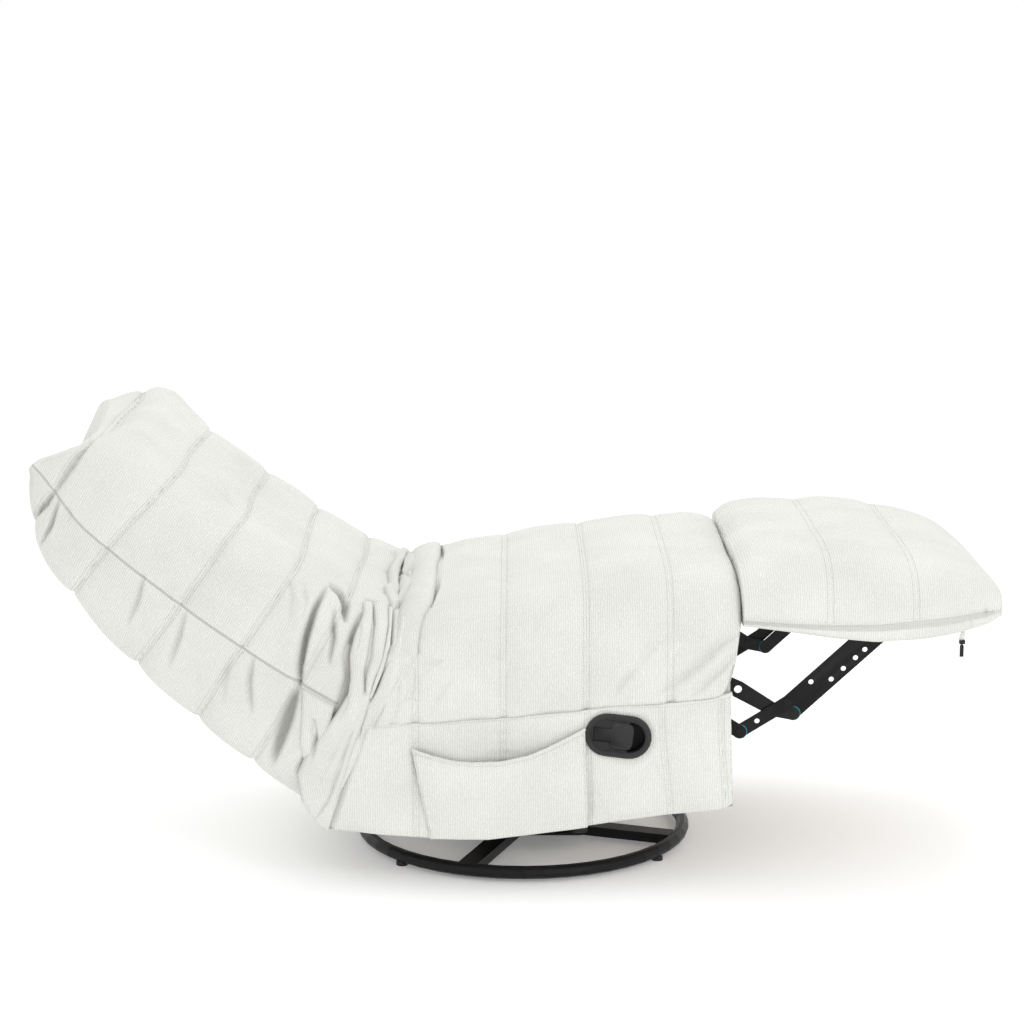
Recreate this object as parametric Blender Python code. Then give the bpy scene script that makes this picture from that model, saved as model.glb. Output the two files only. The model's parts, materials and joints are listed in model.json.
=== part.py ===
"""A swivel and rocking recliner, lying back with its footrest out.

+X is the way the sitter faces, +Z is up, and the origin is on the floor under the swivel.
The near side, with the pocket and the release handle, is -Y. All lengths are in metres.
"""

import math

import bmesh
import bpy
from mathutils import Vector

# Clearances
TOUCH = 0.0003
RUNNING = 0.0016
PIN_CLEARANCE = 0.0005
OPEN_PIVOT_CLEARANCE = 0.0018
OVERRUN = 0.004
SHARP_ANGLE = math.radians(35)
LEFT, RIGHT = 1, -1

# Floor ring and its spokes
RING_RADIUS = 0.3175
RING_TUBE_RADIUS = 0.0125
RING_STEPS = 48
TUBE_STEPS = 10
GLIDE_HEIGHT = 0.006
GLIDE_RADIUS = 0.011
GLIDE_TOP_RISE = 0.003
GLIDE_ANGLES = (-137, -36, 43, 144)
SPOKE_WIDTH = 0.038
SPOKE_HEIGHT = 0.019
SPOKE_TURN = math.radians(-20)
RING_HEIGHT = GLIDE_HEIGHT + RING_TUBE_RADIUS

# Swivel
LOWER_PLATE_SIDE = 0.250
UPPER_PLATE_SIDE = 0.200
SWIVEL_PLATE_THICKNESS = 0.004
SWIVEL_PLATE_CORNER = 0.018
CORNER_STEPS = 12
BEARING_OUTER_RADIUS = 0.055
BEARING_INNER_RADIUS = 0.032
BEARING_HEIGHT = 0.006
BOLT_RADIUS = 0.008
BOLT_HEAD_RADIUS = 0.013
BOLT_HEAD_HEIGHT = 0.006

# Rocker
PEDESTAL_LENGTH = 0.17
PEDESTAL_HALF_WIDTH = 0.075
PEDESTAL_WALL = 0.004
ROCK_AXIS_HEIGHT = 0.102
PEDESTAL_TOP = 0.114
ROCKER_PIN_RADIUS = 0.006
ROCKER_PIN_OVERHANG = 0.006
BEAM_LENGTH = 0.36
BEAM_HALF_WIDTH = 0.045
BEAM_DROP = 0.045
TORSION_SPRING_RADIUS = 0.0135
TORSION_SPRING_BORE = 0.0085
STOP_RADIUS = 0.011
STOP_STEPS = 12
STOP_OFFSET = 0.062
ROCK_FORWARD = math.radians(5)

# Seat frame, measured in the seat's own pitched frame
SEAT_PITCH = math.radians(5)
SEAT_BOTTOM = 0.126
BOARD_THICKNESS = 0.018
BOARD_FLOOR = 0.014
BOARD_TOP = 0.285
BOARD_FRONT_LOW = 0.355
BOARD_FRONT_TOP = 0.372
BOARD_REAR_LOW = -0.290
BOARD_REAR_MID = -0.190
BOARD_REAR_TOP = -0.088
BOARD_REAR_MID_HEIGHT = 0.222
BOARD_REAR_TOP_HEIGHT = 0.262
BASE_RAIL_FLOOR = 0.012
BASE_RAIL_DEPTH = 0.034
BASE_RAIL_HEIGHT = 0.024
BASE_RAIL_FRONT = 0.112
BASE_RAIL_REAR = -0.160
SPRING_RAIL_DEPTH = 0.030
SPRING_RAIL_HEIGHT = 0.020
SPRING_RAIL_FRONT = 0.350
SPRING_RAIL_REAR = -0.062
SPRING_WIRE_RADIUS = 0.002
SPRING_WAVE = 0.026
SPRING_BENDS = 9
SEAT_SPRING_SPACING = 0.15
CROSS_TUBE_RADIUS = 0.0125

# Steel linkage. Pivots are (X, Z) with the footrest out.
PLATE_THICKNESS = 0.003
LINK_WIDTH = 0.025
PIN_RADIUS = 0.004
RIVET_RADIUS = 0.0078
RIVET_HEIGHT = 0.0012
SIDE_PLATE_WIDTH = 0.058
EAR_WIDTH = 0.036
CARRIER_PIVOT = (0.2730, 0.4141)
LOWER_PIVOT = (0.2226, 0.3911)
CROSSING_PIVOT = (0.468, 0.318)
FRONT_PIVOT = (0.504, 0.311)
REAR_PIVOT = (0.404, 0.278)
BEND_POINT = (0.494, 0.335)
FOOT_PIVOT = (0.666, 0.495)
FOOT_FRONT_PIVOT = (0.702, 0.495)
RECLINE_PIVOT = (-0.235, 0.340)
CROSS_TUBE_PLACE = (0.120, 0.356)
SIDE_PLATE_MID = (0.0, 0.338)
CARRIER_HOLE = (0.400, 0.358)
CARRIER_HOLE_RADIUS = 0.0075
CARRIER_WIDE = 0.032
LINK_HOLE_RADIUS = 0.005
CROSSING_LOWER_HOLE_SHARE = 0.5
CROSSING_UPPER_HOLE_SHARE = 0.24
FRONT_LINK_HOLE_SHARES = (0.354, 0.466, 0.578, 0.664)
SPACER_RADIUS = 0.008
DRIVE_TUBE_RADIUS = 0.009

# Footrest
BRACKET_REAR = 0.600
BRACKET_FRONT = 0.790
BRACKET_DROP = 0.012
FOOT_BOARD_CLEARANCE_OVER_PIVOT = 0.018
FOOT_BOARD_THICKNESS = 0.012
FOOT_BOARD_REAR = 0.436
FOOT_BOARD_FRONT = 0.826
FOOT_BOARD_OVERHANG = 0.02410
FOOT_REAR = 0.4070
FOOT_FRONT = 0.8860
FOOT_SIDE_INSET = 0.002
FOOT_RIM_WALL = 0.010
FOOT_RIM_FLOOR = 0.463
FOOT_SIDE_LOW = 0.478
FOOT_ROOT_LOW = 0.503
FOOT_ROOT_RISE_SHARE = 0.30
FOOT_SIDE_TOP = 0.535
FOOT_ROOT_TOP = 0.585
FOOT_CROWN = 0.628
FOOT_CROWN_SHARE = 0.62
FOOT_TIP_HEIGHT = 0.545
FOOT_TIP_THICKNESS = 0.026
FOOT_CORNER_DRAW = 0.026
FOOT_CHANNEL_X = (0.556, 0.712)
FOOT_CHANNEL_Y = (-0.19, 0.0, 0.19)
ZIPPER_X = 0.806
ZIPPER_SIDE_INSET = 0.033
ZIPPER_SLIDER_SIDE = 0.010
ZIPPER_SLIDER_HEIGHT = 0.007
ZIPPER_TAG_LENGTH = 0.024
ZIPPER_TAG_WIDTH = 0.007
ZIPPER_TAG_THICKNESS = 0.002
ZIPPER_TAG_TIP = 0.0016
ZIPPER_TAG_GAP = 0.0007

# Seat and side upholstery, in the seat's own frame
HALF_WIDTH = 0.380
SIDE_PAD_THICKNESS = 0.084
CUSHION_REAR = -0.100
CUSHION_FRONT_LOW = 0.420
CUSHION_FRONT_TOP = 0.4267
CUSHION_BORDER_HEIGHT = 0.046
CUSHION_CROWN = 0.080
CUSHION_REAR_DROP = 0.030
CUSHION_END_DROP_SHARE = 0.72
CUSHION_TUCK = 0.006
SEAT_CHANNEL_X = (0.030, 0.190, 0.345)
SEAT_CHANNEL_Y = (-0.285, -0.095, 0.095, 0.285)
CHANNEL_HALF_WIDTH = 0.012
CHANNEL_DEPTH = 0.009
PAD_EDGE_DRAW = 0.016
PAD_REAR_LOW = -0.355
PAD_REAR_MID = -0.243
PAD_REAR_TOP = -0.100
PAD_REAR_MID_SHARE = 0.70
PAD_REAR_TOP_SHARE = 0.86
PAD_FRONT_LOW = 0.389
PAD_FRONT_TOP = 0.420
PAD_REAR_LIFT = 0.027
PAD_SAG = 0.020
PAD_CHANNEL_X = (-0.190, -0.020, 0.150, 0.320)
PAD_CHANNEL_HEIGHT = 0.205

# Side pocket
POCKET_REAR = -0.188
POCKET_FRONT = 0.112
POCKET_FLOOR = 0.016
POCKET_HEM_REAR = 0.168
POCKET_HEM_FRONT = 0.187
POCKET_HEM_SAG = 0.044
POCKET_PANEL = 0.0024
POCKET_DEPTH = 0.0062
POCKET_SEAM = 0.010
POCKET_STEPS = 8
POCKET_SHARES = (0, 0.06, 0.12, 0.4, 0.7, 1)

# Release handle, centred at (X, Z), tilted in the side's plane
HANDLE_PLACE = (0.172, 0.301)
HANDLE_TILT = math.radians(-7)
HANDLE_LENGTH = 0.122
HANDLE_HEIGHT = 0.080
HANDLE_FLANGE = 0.004
CUP_LENGTH = 0.104
CUP_HEIGHT = 0.062
CUP_DEPTH = 0.024
CUP_WALL = 0.002
CUP_CLEARANCE = 0.0006
PADDLE_THICKNESS = 0.006
PADDLE_INSET = 0.0015
PADDLE_AXIS = -0.041
PADDLE_BARREL_RADIUS = 0.0042
PADDLE_PIN_RADIUS = 0.0016
PADDLE_PIN_STEPS = 12
NECK_END = -0.014
NECK_HEIGHT = 0.0245
HEAD_END = 0.027
HEAD_HEIGHT = 0.050
HEAD_CORNER = 0.011
CABLE_RADIUS = 0.003
CABLE_SAG = 0.012
CABLE_STEPS = 8
STADIUM_STEPS = 24

# Back, along an arc from its lower end to its head
BACK_START = (-0.270, 0.325)
BACK_START_TILT = math.radians(26.9)
BACK_TURN = math.radians(19)
BACK_LENGTH = 0.766
BACK_HALF_WIDTH = 0.380
BACK_FRAME_DEPTH = 0.025
BACK_LEG_WIDTH = 0.025
BACK_LEG_START = 0.012
BACK_LEG_MARGIN = 0.135
BACK_LEG_STEPS = 10
BACK_BAR_SHARES = (0.155, 0.774)
BACK_BAR_DEPTH = 0.030
BRACKET_REACH = 0.115
BRACKET_ENTRY = 0.010
BRACKET_NECK = 0.019
BRACKET_STEPS = 4
BACK_CROWN_LOW = 0.158
BACK_CROWN_HIGH = 0.166
BACK_SIDE_CROWN = 0.062
BACK_REAR_LOW = 0.214
BACK_REAR_HIGH = 0.146
BACK_REAR_SIDE_SHARE = 0.93
BACK_REAR_END_SHARE = 0.15
BACK_FACE_END_SHARE = 0.30
BACK_REAR_STEPS = (12, 8)
BACK_WAIST_DRAW = 0.012
BACK_CHANNEL_SHARES = (0.194, 0.381, 0.568, 0.755)
BACK_CHANNEL_Y = (-0.19, 0.0, 0.19)

# Bunched cover in the crease
CREASE_REAR_LOW = (-0.2030, 0.2640)
CREASE_REAR_TOP = (-0.1560, 0.3720)
CREASE_FRONT_LOW_HEIGHT = 0.2760
CREASE_FRONT_TOP_HEIGHT = 0.3960
CREASE_SIDE_INSET = 0.012
CREASE_PLEAT = 0.006
CREASE_PLEATS = 14

# Looks: colour, roughness, metallic
BLACK_STEEL = ((0.012, 0.012, 0.014), 0.28, 0.6)
ZINC = ((0.42, 0.42, 0.44), 0.35, 1.0)
BLACK_PLASTIC = ((0.014, 0.014, 0.016), 0.45, 0.0)
RUBBER = ((0.02, 0.02, 0.02), 0.8, 0.0)
PLYWOOD = ((0.52, 0.37, 0.22), 0.6, 0.0)
FABRIC = ((0.86, 0.87, 0.83), 0.95, 0.0)

# Layers of the linkage, as distances from the middle to each plate's middle
BOARD_OUTER = HALF_WIDTH - SIDE_PAD_THICKNESS
LAYER_PITCH = PLATE_THICKNESS + RUNNING
SIDE_PLATE_LAYER = BOARD_OUTER - BOARD_THICKNESS - TOUCH - PLATE_THICKNESS / 2
LOWER_LAYER = SIDE_PLATE_LAYER - LAYER_PITCH
CROSSING_LAYER = LOWER_LAYER - LAYER_PITCH
CARRIER_LAYER = CROSSING_LAYER - LAYER_PITCH
FRONT_LAYER = CARRIER_LAYER - LAYER_PITCH

# Widths that follow the body's
FOOT_HALF_WIDTH = HALF_WIDTH - FOOT_SIDE_INSET
FOOT_BOARD_HALF_WIDTH = CARRIER_LAYER + PLATE_THICKNESS / 2 + FOOT_BOARD_OVERHANG
ZIPPER_PLACE = (ZIPPER_X, ZIPPER_SIDE_INSET - FOOT_HALF_WIDTH)
CREASE_HALF_WIDTH = HALF_WIDTH - CREASE_SIDE_INSET

# Heights worked out from what lies below
SPOKE_TOP = RING_HEIGHT + SPOKE_HEIGHT / 2
LOWER_PLATE_FLOOR = SPOKE_TOP + TOUCH
BEARING_FLOOR = LOWER_PLATE_FLOOR + SWIVEL_PLATE_THICKNESS + TOUCH
UPPER_PLATE_FLOOR = BEARING_FLOOR + BEARING_HEIGHT + TOUCH
PEDESTAL_FLOOR = UPPER_PLATE_FLOOR + SWIVEL_PLATE_THICKNESS + TOUCH
SPRING_RAIL_FLOOR = BOARD_TOP + TOUCH
SPRING_WIRE_HEIGHT = SPRING_RAIL_FLOOR + SPRING_RAIL_HEIGHT + TOUCH + SPRING_WIRE_RADIUS
CUSHION_FLOOR = SPRING_WIRE_HEIGHT + SPRING_WIRE_RADIUS + TOUCH
PAD_TOP = CUSHION_FLOOR - TOUCH
PAD_INNER = BOARD_OUTER + TOUCH
FOOT_BOARD_FLOOR = FOOT_PIVOT[1] + FOOT_BOARD_CLEARANCE_OVER_PIVOT
FOOT_RECESS = FOOT_BOARD_FLOOR + FOOT_BOARD_THICKNESS + TOUCH


def clear_scene():
    for item in list(bpy.data.objects):
        bpy.data.objects.remove(item, do_unlink=True)


def empty(name, place, pitch=0):
    marker = bpy.data.objects.new(name, None)
    bpy.context.scene.collection.objects.link(marker)
    marker.location = place
    marker.rotation_euler = (0, -pitch, 0)
    return marker


def paint(item, look):
    colour, roughness, metallic = look
    finish = bpy.data.materials.new(item.name + "_finish")
    finish.use_nodes = True
    shader = finish.node_tree.nodes["Principled BSDF"]
    shader.inputs["Base Color"].default_value = (*colour, 1)
    shader.inputs["Roughness"].default_value = roughness
    shader.inputs["Metallic"].default_value = metallic
    finish.diffuse_color = (*colour, 1)
    item.data.materials.append(finish)


def add_node(name, shape, look, pivot=(0, 0, 0), parent=None):
    """An object from a shape drawn in world places, or in its parent's, with its origin at pivot."""
    bmesh.ops.recalc_face_normals(shape, faces=shape.faces)
    bmesh.ops.translate(shape, verts=shape.verts, vec=-Vector(pivot))
    mesh = bpy.data.meshes.new(name)
    shape.to_mesh(mesh)
    shape.free()
    mesh.shade_smooth()
    mesh.set_sharp_from_angle(angle=SHARP_ANGLE)
    item = bpy.data.objects.new(name, mesh)
    bpy.context.scene.collection.objects.link(item)
    item.location = pivot
    item.parent = parent
    paint(item, look)
    return item


def combine(item, shape, use, operation):
    """Joins a closed shape, drawn in the same places as the item, to the item, or takes it out."""
    other = add_node(f"{item.name}_{use}_cutter", shape, RUBBER, parent=item.parent)
    other.hide_render = True
    other.display_type = "WIRE"
    boolean = item.modifiers.new(use, "BOOLEAN")
    boolean.operation = operation
    boolean.object = other


def cut(item, shape, use="hole"):
    combine(item, shape, use, "DIFFERENCE")


def side_name(name, side):
    return name + ("_left" if side == LEFT else "_right")


def loft(loops, shape=None):
    """Skins successive loops of as many points each, and caps both ends."""
    shape = shape or bmesh.new()
    rings = [[shape.verts.new(point) for point in loop] for loop in loops]
    for low, high in zip(rings, rings[1:]):
        for i in range(len(low)):
            j = (i + 1) % len(low)
            shape.faces.new((low[i], low[j], high[j], high[i]))
    shape.faces.new(rings[0])
    shape.faces.new(rings[-1])
    return shape


def box(low, high):
    corners = ((0, 0), (1, 0), (1, 1), (0, 1))
    x, y = (low[0], high[0]), (low[1], high[1])
    return loft([[(x[i], y[j], z) for i, j in corners] for z in (low[2], high[2])])


def circle(radius, steps, centre=(0, 0)):
    turns = [2 * math.pi * i / steps for i in range(steps)]
    return [(centre[0] + radius * math.cos(t), centre[1] + radius * math.sin(t)) for t in turns]


def post(radius_heights, steps=24, centre=(0, 0)):
    """A turned piece that stands along Z, through (radius, height) pairs."""
    return loft([[(x, y, z) for x, y in circle(r, steps, centre)] for r, z in radius_heights])


def shaft(radius_places, place, steps=16):
    """A turned piece that lies along Y at place (X, Z), through (radius, Y) pairs."""
    return loft([[(x, y, z) for x, z in circle(r, steps, place)] for r, y in radius_places])


def ring_tube(radius, tube_radius, height, steps, tube_steps):
    shape = bmesh.new()
    rings = []
    for i in range(steps):
        turn = 2 * math.pi * i / steps
        section = circle(tube_radius, tube_steps, (radius, height))
        rings.append([shape.verts.new((r * math.cos(turn), r * math.sin(turn), z)) for r, z in section])
    for low, high in zip(rings, rings[1:] + rings[:1]):
        for i in range(tube_steps):
            j = (i + 1) % tube_steps
            shape.faces.new((low[i], low[j], high[j], high[i]))
    return shape


def rounded_rectangle(length, height, radius, steps=STADIUM_STEPS):
    """Points of a rectangle with round corners, centred at zero."""
    points = []
    for sign_x, sign_y, start in ((1, 1, 0), (-1, 1, 90), (-1, -1, 180), (1, -1, 270)):
        for i in range(steps // 4 + 1):
            turn = math.radians(start + 90 * i / (steps // 4))
            points.append((
                sign_x * (length / 2 - radius) + radius * math.cos(turn),
                sign_y * (height / 2 - radius) + radius * math.sin(turn),
            ))
    return points


def strip(points, widths, end_steps=6):
    """The outline of a flat bar along points, with a width at each point and round ends."""
    path = [Vector(point) for point in points]
    one_side, other_side = [], []
    for i, point in enumerate(path):
        before = (point - path[i - 1]).normalized() if i else None
        after = (path[i + 1] - point).normalized() if i + 1 < len(path) else None
        along = ((before or after) + (after or before)).normalized()
        spread = widths[i] / 2 / along.dot(after or before)
        across = Vector((-along.y, along.x)) * spread
        one_side.append(point + across)
        other_side.append(point - across)
    outline = list(one_side)
    outline += half_round(path[-1], path[-1] - path[-2], widths[-1] / 2, end_steps)
    outline += reversed(other_side)
    outline += half_round(path[0], path[0] - path[1], widths[0] / 2, end_steps)
    return [(point.x, point.y) for point in outline]


def half_round(centre, outward, radius, steps):
    """Points between the ends of a half circle, from the left of outward to its right."""
    start = math.atan2(outward.y, outward.x) + math.pi / 2
    turns = [start - math.pi * i / steps for i in range(1, steps)]
    return [centre + radius * Vector((math.cos(t), math.sin(t))) for t in turns]


def plate(outline, middle, side, holes=(), pins=(), thickness=PLATE_THICKNESS):
    """A flat plate across Y, at a distance middle from the centre on one side.

    holes are (place, radius). pins are (place, root radius, outward steps, inward steps), and each
    step is (radius, distance from the centre), which makes spacers, shafts and rivet heads.
    """
    shape = bmesh.new()
    outer, inner = middle + thickness / 2, middle - thickness / 2
    rings = [outline]
    rings += [circle(radius, 12, place) for place, radius in holes]
    rings += [circle(radius, 16, place) for place, radius, _, _ in pins]
    faces = []
    for level in (outer, inner):
        edges = []
        loops = []
        for ring in rings:
            loop = [shape.verts.new((x, side * level, z)) for x, z in ring]
            edges += [shape.edges.new(pair) for pair in zip(loop, loop[1:] + loop[:1])]
            loops.append(loop)
        bmesh.ops.triangle_fill(shape, use_beauty=True, edges=edges)
        faces.append(loops)
    for high, low in list(zip(*faces))[:1 + len(holes)]:
        for i in range(len(high)):
            j = (i + 1) % len(high)
            shape.faces.new((high[i], high[j], low[j], low[i]))
    for loops, steps_index in zip(faces, (2, 3)):
        for pin, root in zip(pins, loops[1 + len(holes):]):
            last = root
            for radius, distance in pin[steps_index]:
                ring = circle(radius, 16, pin[0])
                following = [shape.verts.new((x, side * distance, z)) for x, z in ring]
                for i in range(len(last)):
                    j = (i + 1) % len(last)
                    shape.faces.new((last[i], last[j], following[j], following[i]))
                last = following
            shape.faces.new(last)
    return shape


def rivet_through(near, far_layer, head):
    """Steps of a pin from the face at near through a plate at far_layer, with or without its head."""
    sign = 1 if far_layer > near else -1
    end = far_layer + sign * (PLATE_THICKNESS / 2)
    if not head:
        return [(PIN_RADIUS, end)]
    under = end + sign * TOUCH
    top = end + sign * RIVET_HEIGHT
    return [(PIN_RADIUS, under), (RIVET_RADIUS, under), (RIVET_RADIUS, top)]


def blend(low, high, share):
    return low + (high - low) * share


def dome(share, sharpness):
    """1 in the middle and 0 at both ends of the 0 to 1 span, flatter for a higher sharpness."""
    return 1 - abs(2 * share - 1) ** sharpness


def channel(value, centres, half_width=CHANNEL_HALF_WIDTH):
    """1 at the bottom of a sewn channel and 0 past its edges."""
    nearest = min(abs(value - centre) for centre in centres)
    return max(0, 1 - nearest / half_width)


def stations(start, end, channels, cell_steps, extra=(), half_width=CHANNEL_HALF_WIDTH):
    """Places along a pad: both edges of each channel, its bottom, and steps across each cell."""
    edges = [start]
    for centre in channels:
        edges += [centre - half_width, centre + half_width]
    edges.append(end)
    places = set(channels) | set(extra)
    for low, high in zip(edges[::2], edges[1::2]):
        places |= {blend(low, high, i / cell_steps) for i in range(cell_steps + 1)}
    return sorted(places)


def pad(firsts, seconds, upper, lower):
    """A closed pad between two surfaces over the same grid of places."""
    shape = bmesh.new()
    grids = [
        [[shape.verts.new(surface(a, b)) for b in seconds] for a in firsts]
        for surface in (upper, lower)
    ]
    last_a, last_b = len(firsts) - 1, len(seconds) - 1
    for grid in grids:
        for i in range(last_a):
            for j in range(last_b):
                shape.faces.new((grid[i][j], grid[i + 1][j], grid[i + 1][j + 1], grid[i][j + 1]))
    border = [(i, 0) for i in range(last_a)] + [(last_a, j) for j in range(last_b)]
    border += [(i, last_b) for i in range(last_a, 0, -1)] + [(0, j) for j in range(last_b, 0, -1)]
    for (a, b), (c, d) in zip(border, border[1:] + border[:1]):
        shape.faces.new((grids[0][a][b], grids[0][c][d], grids[1][c][d], grids[1][a][b]))
    return shape


def seat_to_world(x, z):
    """(X, Z) in the world of a place in the seat's pitched frame."""
    turn, rise = math.cos(SEAT_PITCH), math.sin(SEAT_PITCH)
    return x * turn - z * rise, SEAT_BOTTOM + x * rise + z * turn


def world_to_seat(place):
    x, z = place[0], place[1] - SEAT_BOTTOM
    turn, rise = math.cos(SEAT_PITCH), math.sin(SEAT_PITCH)
    return x * turn + z * rise, z * turn - x * rise


def back_point(s, y, n):
    """The world place at s along the back's arc, n from its frame's middle towards the sitter."""
    radius = BACK_LENGTH / BACK_TURN
    start = BACK_START_TILT
    tilt = start + s / radius
    x = BACK_START[0] - radius * (math.sin(tilt) - math.sin(start)) + n * math.sin(tilt)
    z = BACK_START[1] + radius * (math.cos(start) - math.cos(tilt)) + n * math.cos(tilt)
    return Vector((x, y, z))


def make_ring():
    shape = ring_tube(RING_RADIUS, RING_TUBE_RADIUS, RING_HEIGHT, RING_STEPS, TUBE_STEPS)
    add_node("base_ring", shape, BLACK_STEEL)


def make_cross():
    """Two flat bars that cross, as one welded piece, coped round the ring at their four ends."""
    half = SPOKE_WIDTH / 2
    corners = []
    for quarter in range(4):
        turn = SPOKE_TURN + quarter * math.pi / 2
        along = Vector((math.cos(turn), math.sin(turn)))
        across = Vector((-along.y, along.x))
        corners += [along * RING_RADIUS - across * half, along * RING_RADIUS + across * half]
        corners.append((along + across) * half)
    levels = (SPOKE_TOP - SPOKE_HEIGHT, SPOKE_TOP)
    cross = add_node("base_cross", loft([[(c.x, c.y, z) for c in corners] for z in levels]), BLACK_STEEL)
    reach = RING_TUBE_RADIUS / math.cos(math.pi / TUBE_STEPS) + TOUCH
    cut(cross, ring_tube(RING_RADIUS, reach, RING_HEIGHT, RING_STEPS, TUBE_STEPS))


def make_glides():
    reach = RING_TUBE_RADIUS / math.cos(math.pi / TUBE_STEPS) + TOUCH
    for number, angle in enumerate(GLIDE_ANGLES, 1):
        turn = math.radians(angle)
        centre = (RING_RADIUS * math.cos(turn), RING_RADIUS * math.sin(turn))
        profile = ((GLIDE_RADIUS, 0), (GLIDE_RADIUS, GLIDE_HEIGHT + GLIDE_TOP_RISE))
        glide = add_node(f"glide_{number}", post(profile, 16, centre), RUBBER)
        cut(glide, ring_tube(RING_RADIUS, reach, RING_HEIGHT, RING_STEPS, TUBE_STEPS))


def swivel_plate(name, side, floor):
    outline = rounded_rectangle(side, side, SWIVEL_PLATE_CORNER, CORNER_STEPS)
    top = floor + SWIVEL_PLATE_THICKNESS
    item = add_node(name, loft([[(x, y, z) for x, y in outline] for z in (floor, top)]), BLACK_STEEL)
    reach = BOLT_RADIUS + PIN_CLEARANCE
    cut(item, post(((reach, floor - OVERRUN), (reach, top + OVERRUN))))


def make_swivel():
    swivel_plate("swivel_lower_plate", LOWER_PLATE_SIDE, LOWER_PLATE_FLOOR)
    outer, inner = BEARING_OUTER_RADIUS, BEARING_INNER_RADIUS
    floor, top = BEARING_FLOOR, BEARING_FLOOR + BEARING_HEIGHT
    bearing = add_node("swivel_bearing", post(((outer, floor), (outer, top))), ZINC)
    cut(bearing, post(((inner, floor - OVERRUN), (inner, top + OVERRUN))))
    swivel_plate("swivel_upper_plate", UPPER_PLATE_SIDE, UPPER_PLATE_FLOOR)
    seat = UPPER_PLATE_FLOOR + SWIVEL_PLATE_THICKNESS + TOUCH
    profile = (
        (BOLT_RADIUS, LOWER_PLATE_FLOOR), (BOLT_RADIUS, seat),
        (BOLT_HEAD_RADIUS, seat), (BOLT_HEAD_RADIUS, seat + BOLT_HEAD_HEIGHT),
    )
    add_node("swivel_bolt", post(profile), ZINC)


def make_pedestal():
    """A channel along X with the rocking axis through its two walls."""
    out, wall = PEDESTAL_HALF_WIDTH, PEDESTAL_WALL
    floor, top = PEDESTAL_FLOOR, PEDESTAL_TOP
    section = [
        (-out, floor), (out, floor), (out, top), (out - wall, top),
        (out - wall, floor + wall), (wall - out, floor + wall), (wall - out, top), (-out, top),
    ]
    ends = (-PEDESTAL_LENGTH / 2, PEDESTAL_LENGTH / 2)
    item = add_node("rocker_pedestal", loft([[(x, y, z) for y, z in section] for x in ends]), BLACK_STEEL)
    bore = ROCKER_PIN_RADIUS + PIN_CLEARANCE
    reach = out + OVERRUN
    cut(item, shaft(((bore, -reach), (bore, reach)), (0, ROCK_AXIS_HEIGHT)))
    bolt_room = BOLT_HEAD_RADIUS + OVERRUN
    cut(item, post(((bolt_room, floor - OVERRUN), (bolt_room, floor + wall + OVERRUN))), "bolt_room")


def make_rocker(seat_axis):
    make_pedestal()
    reach = PEDESTAL_HALF_WIDTH + ROCKER_PIN_OVERHANG
    axis = (0, ROCK_AXIS_HEIGHT)
    profile = ((ROCKER_PIN_RADIUS, -reach), (ROCKER_PIN_RADIUS, reach))
    add_node("rocker_pin", shaft(profile, axis), ZINC, pivot=(0, 0, ROCK_AXIS_HEIGHT))
    for side in (LEFT, RIGHT):
        ends = [side * (BEAM_HALF_WIDTH + TOUCH), side * (PEDESTAL_HALF_WIDTH - PEDESTAL_WALL - TOUCH)]
        spring = shaft([(TORSION_SPRING_RADIUS, y) for y in ends], axis)
        item = add_node(side_name("rocker_spring", side), spring, ZINC)
        cut(item, shaft([(TORSION_SPRING_BORE, y) for y in (0, 2 * ends[1])], axis))
    make_beam(seat_axis)
    make_stops()


def make_beam(seat_axis):
    """The seat's beam over the rocking axis, in the seat's frame."""
    half, wide = BEAM_LENGTH / 2, BEAM_HALF_WIDTH
    low = BASE_RAIL_FLOOR - BEAM_DROP
    shape = box((-half, -wide, low), (half, wide, BASE_RAIL_FLOOR - TOUCH))
    item = add_node("rocker_beam", shape, BLACK_STEEL, parent=seat_axis)
    bore = ROCKER_PIN_RADIUS + PIN_CLEARANCE
    reach = wide + OVERRUN
    cut(item, shaft(((bore, -reach), (bore, reach)), world_to_seat((0, ROCK_AXIS_HEIGHT))))


def make_stops():
    """Rubber stops on the pedestal: the seat lies on the rear one, and rocks forward to the front one."""
    floor = PEDESTAL_FLOOR + PEDESTAL_WALL + TOUCH
    beam_low = BASE_RAIL_FLOOR - BEAM_DROP
    rear_edge = world_to_seat((-STOP_OFFSET - STOP_RADIUS, 0))[0]
    rear_top = seat_to_world(rear_edge, beam_low)[1] - TOUCH
    axis_height = world_to_seat((0, ROCK_AXIS_HEIGHT))[1]
    slack = (STOP_OFFSET + STOP_RADIUS) * math.sin(ROCK_FORWARD - SEAT_PITCH)
    front_top = ROCK_AXIS_HEIGHT + beam_low - axis_height - slack - TOUCH
    for name, place, top in (("rear", -STOP_OFFSET, rear_top), ("front", STOP_OFFSET, front_top)):
        shape = post(((STOP_RADIUS, floor), (STOP_RADIUS, top)), STOP_STEPS, (place, 0))
        add_node("rocker_stop_" + name, shape, RUBBER)


def rail(middle, section, floor, half_width):
    """A bar across the seat, with a section (depth, height)."""
    depth, height = section
    low = (middle - depth / 2, -half_width, floor)
    high = (middle + depth / 2, half_width, floor + height)
    return box(low, high)


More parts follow.
